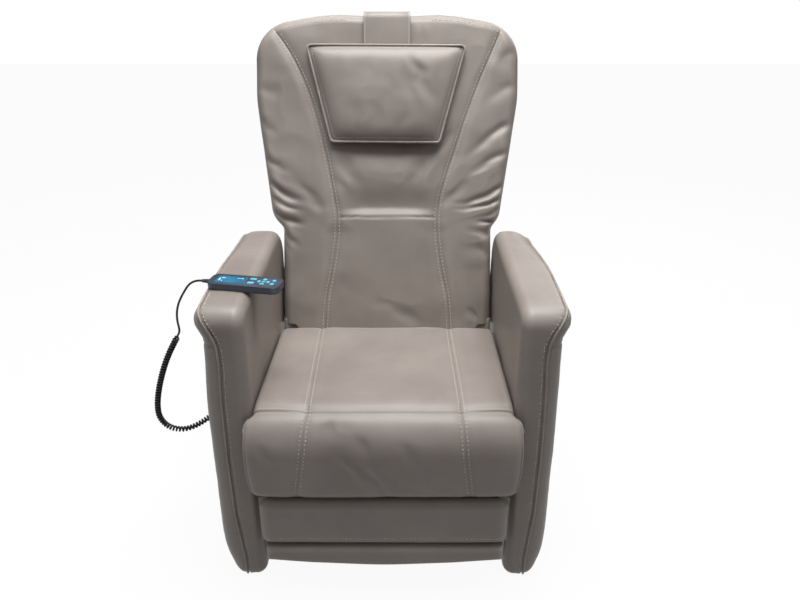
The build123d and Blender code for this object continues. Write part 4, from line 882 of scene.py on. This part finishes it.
def build_seat():
    a = SEAT_S[:-1]
    half = seat_half(a)
    left = np.interp(a, SEAT_L[:, 0], SEAT_L[:, 1])
    right = np.interp(a, SEAT_R[:, 0], SEAT_R[:, 1])
    side, mid = spread(105, 4.5), spread(308, 4.5)
    x = np.concatenate([
        -half[:, None] + (left + half)[:, None] * side[None, :-1],
        left[:, None] + (right - left)[:, None] * mid[None],
        right[:, None] + (half - right)[:, None] * side[None, 1:],
    ], 1)
    aa = np.broadcast_to(a[:, None], x.shape)
    body = (aa > TOP_AT(30) - 30) & (aa < LOW + 40)
    depth = seat_depth(aa, x) * np.where(body, 1, 0.4)
    top = seat_at(aa, x, depth)
    spine = np.stack([np.clip(PROFILE[:-1, 0], -377, 6), np.clip(PROFILE[:-1, 1], 281, 400)], 1)
    spine[:, 1] = np.where((PROFILE[:-1, 0] > -345) & (PROFILE[:-1, 1] < 340), 345, spine[:, 1])
    in_roll = spine[:, 0] < -345
    heart = np.column_stack([np.where(in_roll & (spine[:, 1] < 372), -364, spine[:, 0]),
                             np.where(in_roll, np.minimum(spine[:, 1], 372), 372)])
    caps = []
    for col, sign in ((0, -1), (-1, 1)):
        edge = top[:, col]
        rings = []
        for k in (0.12, 0.3, 0.55, 0.8, 1.0):
            yz = edge[:, 1:] * (1 - k) + spine * k
            out = 1.4 * sin(pi * min(k, 0.5)) * (edge[:, 1] < -352)
            rings.append(np.column_stack([edge[:, 0] + sign * out, yz]))
        rings.append(np.column_stack([rings[-1][:, 0], heart]))
        caps.append(np.stack(rings, 1))
    grid = np.concatenate([caps[0][:, ::-1], top, caps[1]], 1)
    rows, cols, _ = grid.shape
    seat = add_piece("seat_cushion", grid.reshape(-1, 3), quads(rows, cols, 0, True), LEATHER, "chassis")
    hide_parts("seat_cover", "seat_foam")

    parts = []
    for seam in (SEAT_L, SEAT_R):
        line = spaced(seam, 260)
        for off in (-5.5, 5.5):
            p = line[6:-4] + [0, off]
            pts = seat_at(p[:, 0], p[:, 1], seat_depth(p[:, 0], p[:, 1]))
            n = np.stack([0 * p[:, 0], np.interp(p[:, 0], SEAT_S, SEAT_N[:, 0]),
                          np.interp(p[:, 0], SEAT_S, SEAT_N[:, 1])], 1)
            parts.append(stitches(pts, n))
    add_piece("seat_stitching", *join(*parts), THREAD, "chassis")
    # piping round each end of the roll
    a = np.linspace(CROSS + 14, LOW + 6, 120)
    tubes = []
    for sign in (-1, 1):
        x = sign * (seat_half(a) - 3.5)
        pts = seat_at(a, x, seat_depth(a, x) - 0.6)
        tubes.append(tube(pts, 1.9 * np.sin(np.linspace(0.12, pi - 0.12, 120)) ** 0.3, 8))
    add_piece("roll_piping", *join(*tubes), PIPING, "chassis")


build_seat()

# ---------------------------------------------------------------- arms
SLOPE = 26 / 495
ARM_SIDE = rounded([(-345, 3.5), (-345, 645), (150, 671), (150, 3.5)], [20, 36, 75, 24], closed=True)
ARM_SIDE = spaced(ARM_SIDE, 470)[:-1]
step = np.roll(ARM_SIDE, -1, 0) - np.roll(ARM_SIDE, 1, 0)
step /= np.linalg.norm(step, axis=1)[:, None]
ARM_OUT = np.stack([-step[:, 1], step[:, 0]], 1)
ARM_MIDDLE = np.array([-97.0, 330.0])


def above_plane(y, z):
    """Height along the arm's sloping top, as it would be at the front."""
    return z - (y + 345) * SLOPE


def arm_outside(y, z, side):
    """How far out the arm's outer face stands: a little fuller low down, most on the handset's side."""
    h = above_plane(y, z)
    full, taper = (9, 14) if side < 0 else (4, 17)
    belly = full * smooth(z, 10, 140) * (1 - smooth(h, 400, 600))
    return 345 + 13.5 * smooth(h, 580, 622) + belly - taper * (1 - smooth(z, 0, 110)) ** 2


SEAM_UP = line_of([(6, 306), (60, 306), (180, 317), (320, 319), (450, 318), (540, 314), (575, 315), (598, 322),
                   (616, 332), (632, 343), (648, 351.5), (700, 354)])


def arm_seam(y, z):
    return np.interp(above_plane(y, z), SEAM_UP[:, 0], SEAM_UP[:, 1])


def arm_across(k, share, side):
    """A point of the rim at outline point k: share 0 at the inner face, 1 at the outer."""
    y, z = ARM_SIDE[k, 0], ARM_SIDE[k, 1]
    ny, nz = ARM_OUT[k, 0], ARM_OUT[k, 1]
    outer = arm_outside(y, z, side)
    up = smooth(nz, 0.3, 0.9)
    r_in, r_out = 22, 27 - 9 * up + (22 if side < 0 else 46) * up * smooth(y, -170, 110)
    flat = outer - r_out - (INNER + r_in)
    total = r_in * pi / 2 + flat + r_out * pi / 2
    at = share * total
    a = np.clip(at / r_in, 0, pi / 2)
    c = np.clip((at - r_in * pi / 2 - flat) / r_out, 0, pi / 2)
    b = np.clip(at - r_in * pi / 2, 0, flat)
    x = INNER + 0.5 + r_in * (1 - np.cos(a)) + b + r_out * np.sin(c)
    inset = r_in * (1 - np.sin(a)) + r_out * (1 - np.cos(c))
    nx = -np.cos(a) + np.sin(c)
    nr = np.where(a < pi / 2, np.sin(a), np.cos(c))
    nx = np.where((a >= pi / 2) & (c <= 0), 0, nx)
    return x, y - ny * inset, z - nz * inset, nx, ny * nr, nz * nr


def arm_rim(k, share, side):
    """The rim's leather, with its seam, stitching puckers, tuck and ripples."""
    x, y, z, nx, ny, nz = arm_across(k, share, side)
    along = k * (lengths(ARM_SIDE)[-1] / len(ARM_SIDE))
    d = x - arm_seam(y, z)
    on_front = smooth(-y, 240, 330) + smooth(y, 60, 140)
    g = on_front * (1.4 * np.exp(-((d / 8) ** 2)) + 1.8 * np.exp(-(((d + 3.2) / 1.6) ** 2)))
    g += on_front * 0.75 * np.cos(2 * pi * along / 7.5) * np.exp(-(((d + 9) / 4.5) ** 2))
    h = above_plane(y, z)
    tuck = np.exp(-(((h - 577 + 0.10 * (x - 330)) / 2.6) ** 2)) * smooth(d, 3, 8) * smooth(-y, 270, 330)
    tuck2 = np.exp(-(((h - 588) / 3.0) ** 2)) * smooth(d, 5, 10) * smooth(-y, 290, 335)
    g += 2.6 * tuck + 1.2 * tuck2
    top = smooth(nz, 0.55, 0.9)
    reach = np.exp(-(((y + (40 if side > 0 else 10)) / 62) ** 2)) * smooth(x, 284, 306)
    waves = np.cos(2 * pi * (y + 0.05 * x + 4 * uneven(x, y, 60, 3)) / 13) + 0.5 * uneven(x, y, 9, 6)
    g += top * reach * (0.75 if side > 0 else 0.3) * waves
    g += 0.9 * uneven(x + z, y + z, 95, side) - 1.8 * np.sin(pi * np.clip((x - INNER) / 90, 0, 1))
    g += 0.3 * uneven(x + z, y - z, 24, side + 2)
    return np.stack([side * (x - nx * g), y - ny * g, z - nz * g], -1)


def build_arm(side, name, *nodes):
    n = len(ARM_SIDE)
    share = np.linspace(0, 1, 44)
    k = np.broadcast_to(np.arange(n)[:, None], (n, 44))
    rim = arm_rim(k, np.broadcast_to(share, (n, 44)), side)
    rings_in, rings_out = [], []
    inner, outer = rim[:, 0], rim[:, -1]
    for q in (0.03, 0.08, 0.16, 0.28, 0.42, 0.58, 0.74, 0.88, 0.9995):
        yz = inner[:, 1:] * (1 - q) + ARM_MIDDLE * q
        dent = 0.8 * (1 + uneven(yz[:, 0], yz[:, 1], 110, side)) * smooth(q, 0, 0.2)
        rings_in.append(np.column_stack([side * (INNER + 0.5 + dent), yz]))
    for q in (*np.linspace(0.012, 0.30, 26), 0.36, 0.44, 0.54, 0.66, 0.78, 0.9, 0.9995):
        yz = outer[:, 1:] * (1 - q) + ARM_MIDDLE * q
        face = arm_outside(yz[:, 0], yz[:, 1], side)
        h = above_plane(yz[:, 0], yz[:, 1])
        dent = 0.9 * (1 + uneven(yz[:, 0], yz[:, 1], 120, side + 5)) + 0.4 * uneven(yz[:, 0], yz[:, 1], 30, side)
        dent = dent + 1.6 * np.exp(-(((h - 579) / 3) ** 2)) * smooth(q, 0, 0.03)
        rings_out.append(np.column_stack([side * (face - dent * smooth(q, 0, 0.06)), yz]))
    grid = np.concatenate([np.stack(rings_in[::-1], 1), rim, np.stack(rings_out, 1)], 1)
    rows, cols, _ = grid.shape
    arm = add_piece(name, grid.reshape(-1, 3), quads(rows, cols, 0, True), LEATHER, "chassis")
    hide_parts(*nodes)

    # the piped seam runs up the front, out over the flare, back along the top and down the rear
    low = np.argmin(np.hypot(ARM_SIDE[:, 0] + 335, ARM_SIDE[:, 1] - 8))
    stop = np.argmin(np.hypot(ARM_SIDE[:, 0] - 140, ARM_SIDE[:, 1] - 8))
    order = np.arange(low, stop) if low < stop else np.r_[low:n, 0:stop]
    fine = np.linspace(0, 1, 240)
    lines = {0.6: [], -8.5: []}
    normals = []
    for j in order:
        x, y, z, nx, ny, nz = arm_across(np.full(240, j), fine, side)
        d = x - arm_seam(y, z)
        for off in lines:
            i = np.argmin(np.abs(d - off))
            p = arm_rim(np.full(1, j), fine[i : i + 1], side)[0]
            out = np.array([side * nx[i], ny[i], nz[i]])
            lines[off].append(p + out * (1.5 if off > 0 else 0.1))
            if off < 0:
                normals.append(out)
    pipe, sewn, normals = np.array(lines[0.6]), np.array(lines[-8.5]), np.array(normals)
    pipe[2:-2] = (pipe[:-4] + pipe[1:-3] + pipe[2:-2] + pipe[3:-1] + pipe[4:]) / 5
    add_piece(name + "_piping", *tube(pipe, 2.3, 8), PIPING, "chassis")
    front = sewn[:, 1] < -250
    add_piece(name + "_stitching", *stitches(sewn[front], normals[front], 7.5), THREAD, "chassis")
    return arm


build_arm(-1, "arm_right", "arm_cover_right", "arm_outer_panel_right", "arm_foam")
build_arm(1, "arm_left", "arm_cover_left", "arm_outer_panel_left")


# ---------------------------------------------------------------- legrest, footplate and rear valance
def facing_front(verts):
    """Pad coordinates (x, z, depth) to the row frame."""
    return np.stack([verts[:, 0], verts[:, 2], verts[:, 1]], 1)


def build_legrest():
    patch, f = rectangle_pad(-259, 259, 128.5, 239.6, 5, 20, 17)
    x, z = patch[..., 0], patch[..., 1]
    front = -387.6 + f + 0.8 * (1 + uneven(x, z, 90, 9)) + 2.2 * (np.abs(x) / 259) ** 4
    front += 1.4 * np.exp(-(((z - 143) / 1.8) ** 2)) + 0.35 * uneven(x, z, 25, 3)
    verts, faces = slab(patch, np.minimum(front, -368), np.full(x.shape, -366.2), [(0.5, -0.3)])
    pad = add_piece("legrest_leather", facing_front(verts), faces, LEATHER, "legrest")
    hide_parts("legrest_pad")
    # a dark strip of lining cloth along the top of the board, behind the pad: painted shade that closes the gap under
    # the roll, where the white floor would show through
    patch, f = rectangle_pad(-238, 238, 229, 243, 6, 3, 2)
    verts, faces = slab(patch, -365.6 + f, np.full(f.shape, -358.4), [(0.5, 0.4)])
    strip = add_piece("legrest_shade_strip", facing_front(verts), faces, FINISHES["lining"], "legrest")
    x = np.linspace(-246, 246, 120)
    line = np.stack([x, np.full(120, -386.2), np.full(120, 148.0)], 1)
    add_piece("legrest_stitching", *stitches(line, np.tile([0, -1.0, 0], (120, 1))), THREAD, "legrest")


def build_footplate():
    low = rounded([(-250, 86), (-150, 77), (0, 70), (150, 77), (250, 86)], [300, 900, 300])
    patch = coons(low, line_of([(-250, 120.6), (250, 120.6)]), line_of([(-250, 86), (-250, 120.6)]),
                  line_of([(250, 86), (250, 120.6)]), spread(500, 5), spread(46, 3))
    x, z = patch[..., 0], patch[..., 1]
    rim = np.vstack([low, [(250, 120.6), (-250, 120.6), (-250, 86)]])
    e = np.abs(nearest(x, z, rim)[0])
    f = 10 - np.sqrt(100 - np.clip(10 - e, 0, 10) ** 2)
    front = -385.6 + f + 0.4 * (1 + uneven(x, z, 60, 4))
    verts, faces = slab(patch, front, np.full(x.shape, -362.2), [(0.4, -0.3), (0.8, -0.1)])
    pad = add_piece("footplate_leather", facing_front(verts), faces, LEATHER, "foot_plate")
    bars = []
    for x in (-170, 170):
        for y0, z1 in ((-356.5, 210), (-362, 120)):
            flat = rounded([(x - 6, 103), (x + 6, 103), (x + 6, z1), (x - 6, z1)],
                [1.5, 1.5, 1.5, 1.5], closed=True)
            n = len(flat) - 1
            rings = [np.column_stack([x + (flat[:-1, 0] - x) * k, np.full(n, y),
                103 + (flat[:-1, 1] - 103) * (1 - q) + q])
                     for y, k, q in ((y0, 0.9, 0.006), (y0 + 0.6, 1, 0), (-349.1, 1, 0), (-348.5, 0.9, 0.006))]
            verts = np.vstack(rings)
            sides = [(i * n + j, i * n + (j + 1) % n, (i + 1) * n + (j + 1) % n, (i + 1) * n + j)
                     for i in range(3) for j in range(n)]
            bars.append((verts, sides + [tuple(range(n))[::-1], tuple(range(3 * n, 4 * n))]))
    slides = add_piece("footplate_slides", *join(*bars), FINISHES["link_steel"], "foot_plate")
    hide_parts("footplate")
    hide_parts("footplate")


build_legrest()
build_footplate()


def build_valance():
    lo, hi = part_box("rear_valance")
    x0, x1, z0, z1 = lo.x * 1000, hi.x * 1000, lo.z * 1000, hi.z * 1000
    y0, y1 = lo.y * 1000, hi.y * 1000
    patch, f = rectangle_pad(x0 + 0.3, x1 - 0.3, z0 + 0.3, z1 - 0.3, 8, 5, 1.2)
    x, z = patch[..., 0], patch[..., 1]
    outer = y1 - f - 0.25 * (1 + uneven(x, z, 70, 2))
    verts, faces = slab(patch, np.full(x.shape, y0 + 0.1), outer, [(0.5, -0.1)])
    # the rear skirt takes the darker copy of the leather: painted shade
    skirt = add_piece("rear_skirt_leather", facing_front(verts), faces, SHADED_LEATHER, "chassis")
    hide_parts("rear_valance")


build_valance()

# ---------------------------------------------------------------- handset face
CASE = (-276, -230, 645 + 115 * SLOPE + 0.3)


def case_at(x, y, z):
    """From the handset's own frame, with z from its underside, to the row frame."""
    t, q = np.arctan(SLOPE), radians(-10)
    x, y, z = np.asarray(x, float), np.asarray(y, float), np.asarray(z, float)
    px, py = x * cos(q) - y * sin(q), x * sin(q) + y * cos(q)
    return np.stack([CASE[0] + px, CASE[1] + py * cos(t) - z * sin(t), CASE[2] + py * sin(t) + z * cos(t)], -1)


def face_plate(x0, x1, y0, y1, radius, low, high):
    """A thin plate with rounded corners on the handset's face."""
    ring = rounded([(x0, y0), (x1, y0), (x1, y1), (x0, y1)], [radius] * 4, closed=True)[:-1]
    n = len(ring)
    mid = ring.mean(0)
    rows = [case_at(*ring.T, np.full(n, low)), case_at(*ring.T, np.full(n, high - 0.15)),
            case_at(*(mid + (ring - mid) * 0.985).T, np.full(n, high))]
    verts = np.vstack(rows)
    faces = []
    for r in range(2):
        for j in range(n):
            j2 = (j + 1) % n
            faces.append([r * n + j, r * n + j2, (r + 1) * n + j2, (r + 1) * n + j])
    faces += [list(range(n)), list(range(2 * n, 3 * n))]
    return verts, faces


SCREEN = material("lit_screen", srgb(8, 88, 122), srgb(22, 122, 158), (0.12, 0.2), 30, None, glow=0.3, coat=0.6)
MARKS = material("screen_marks", srgb(168, 232, 240), srgb(205, 244, 248), (0.3, 0.4), 60, None, glow=0.5)
screen = add_piece("handset_screen", *face_plate(-60.5, 0.5, -15.5, 15.5, 2.5, 15.02, 15.35), SCREEN, "handset")
marks = [face_plate(-55, -52.5, -8, 4, 1, 15.3, 15.55), face_plate(-51, -44, 4, 6.5, 1, 15.3, 15.55),
         face_plate(-50, -46, -8, -5.5, 1, 15.3, 15.55), face_plate(-20, -6, 7, 8.2, 0.5, 15.3, 15.5)]
add_piece("screen_marks", *join(*marks), MARKS, "handset")

# ---------------------------------------------------------------- floor and light
WHITE = bpy.data.materials.new("pale_floor")
WHITE.use_nodes = True
nodes, links = WHITE.node_tree.nodes, WHITE.node_tree.links
path = nodes.new("ShaderNodeLightPath")
seen = nodes.new("ShaderNodeMath")
seen.operation = "MAXIMUM"
links.new(path.outputs["Is Camera Ray"], seen.inputs[0])
links.new(path.outputs["Is Glossy Ray"], seen.inputs[1])
seen_too = nodes.new("ShaderNodeMath")
seen_too.operation = "MAXIMUM"
links.new(seen.outputs[0], seen_too.inputs[0])
links.new(path.outputs["Is Transmission Ray"], seen_too.inputs[1])
diffuse, glow, mix = (nodes.new(f"ShaderNode{kind}") for kind in ("BsdfDiffuse", "Emission", "MixShader"))
speck = nodes.new("ShaderNodeTexNoise")
speck.inputs["Scale"].default_value = 2
tone = nodes.new("ShaderNodeValToRGB")
tone.color_ramp.elements[0].color, tone.color_ramp.elements[1].color = (0.12, 0.12, 0.12, 1), (0.14, 0.14, 0.14, 1)
links.new(speck.outputs["Fac"], tone.inputs["Fac"])
bright = nodes.new("ShaderNodeMix")
bright.data_type = "RGBA"
bright.inputs["B"].default_value = (0.96, 0.96, 0.96, 1)
links.new(seen_too.outputs[0], bright.inputs["Factor"])
links.new(tone.outputs["Color"], bright.inputs["A"])
links.new(bright.outputs["Result"], diffuse.inputs["Color"])
glow.inputs["Strength"].default_value = 1.0
share = nodes.new("ShaderNodeMath")
share.operation = "MULTIPLY"
share.inputs[1].default_value = 0.94
links.new(seen_too.outputs[0], share.inputs[0])
links.new(share.outputs[0], mix.inputs["Fac"])
links.new(diffuse.outputs[0], mix.inputs[1])
links.new(glow.outputs[0], mix.inputs[2])
links.new(mix.outputs[0], nodes["Material Output"].inputs["Surface"])

bm = bmesh.new()
bmesh.ops.create_grid(bm, x_segments=8, y_segments=8, size=14)
mesh = bpy.data.meshes.new("floor")
bm.to_mesh(mesh)
bm.free()
mesh.materials.append(WHITE)
floor = bpy.data.objects.new("floor", mesh)
scene.collection.objects.link(floor)

world = bpy.data.worlds.new("studio")
scene.world = world
world.use_nodes = True
nodes, links = world.node_tree.nodes, world.node_tree.links
background = nodes["Background"]
path = nodes.new("ShaderNodeLightPath")
seen = nodes.new("ShaderNodeMath")
seen.operation = "MAXIMUM"
links.new(path.outputs["Is Camera Ray"], seen.inputs[0])
links.new(path.outputs["Is Transmission Ray"], seen.inputs[1])
where = nodes.new("ShaderNodeTexCoord")
split = nodes.new("ShaderNodeSeparateXYZ")
links.new(where.outputs["Generated"], split.inputs[0])
sky = nodes.new("ShaderNodeMapRange")
sky.inputs["From Min"].default_value, sky.inputs["From Max"].default_value = -0.05, 0.9
sky.inputs["To Min"].default_value, sky.inputs["To Max"].default_value = 0.01, 0.5
links.new(split.outputs["Z"], sky.inputs["Value"])
blend = nodes.new("ShaderNodeMix")
blend.data_type = "FLOAT"
blend.inputs["B"].default_value = 1.0
links.new(seen.outputs[0], blend.inputs["Factor"])
links.new(sky.outputs["Result"], blend.inputs["A"])
links.new(blend.outputs["Result"], background.inputs["Strength"])
background.inputs["Color"].default_value = (1, 1, 1, 1)


def lamp(name, place, aim, size, power, colour=(1, 1, 1)):
    light = bpy.data.lights.new(name, "AREA")
    light.shape = "DISK"
    light.size, light.energy, light.color = size, power, colour
    obj = bpy.data.objects.new(name, light)
    obj.location = place
    away = np.array(place) - np.array(aim)
    obj.rotation_euler = Vector(away).to_track_quat("Z", "Y").to_euler()
    scene.collection.objects.link(obj)


lamp("key", (0.1, -0.1, 3.2), (0, -0.1, 0.5), 2.0, 86, (1.0, 0.99, 0.975))
lamp("fill_left", (-2.4, -1.4, 1.9), (0, 0, 0.6), 1.6, 1.2, (0.97, 0.99, 1.0))
lamp("rear", (1.6, 2.4, 2.4), (0, 0.2, 0.7), 1.8, 16)

scene.view_settings.view_transform = "Standard"
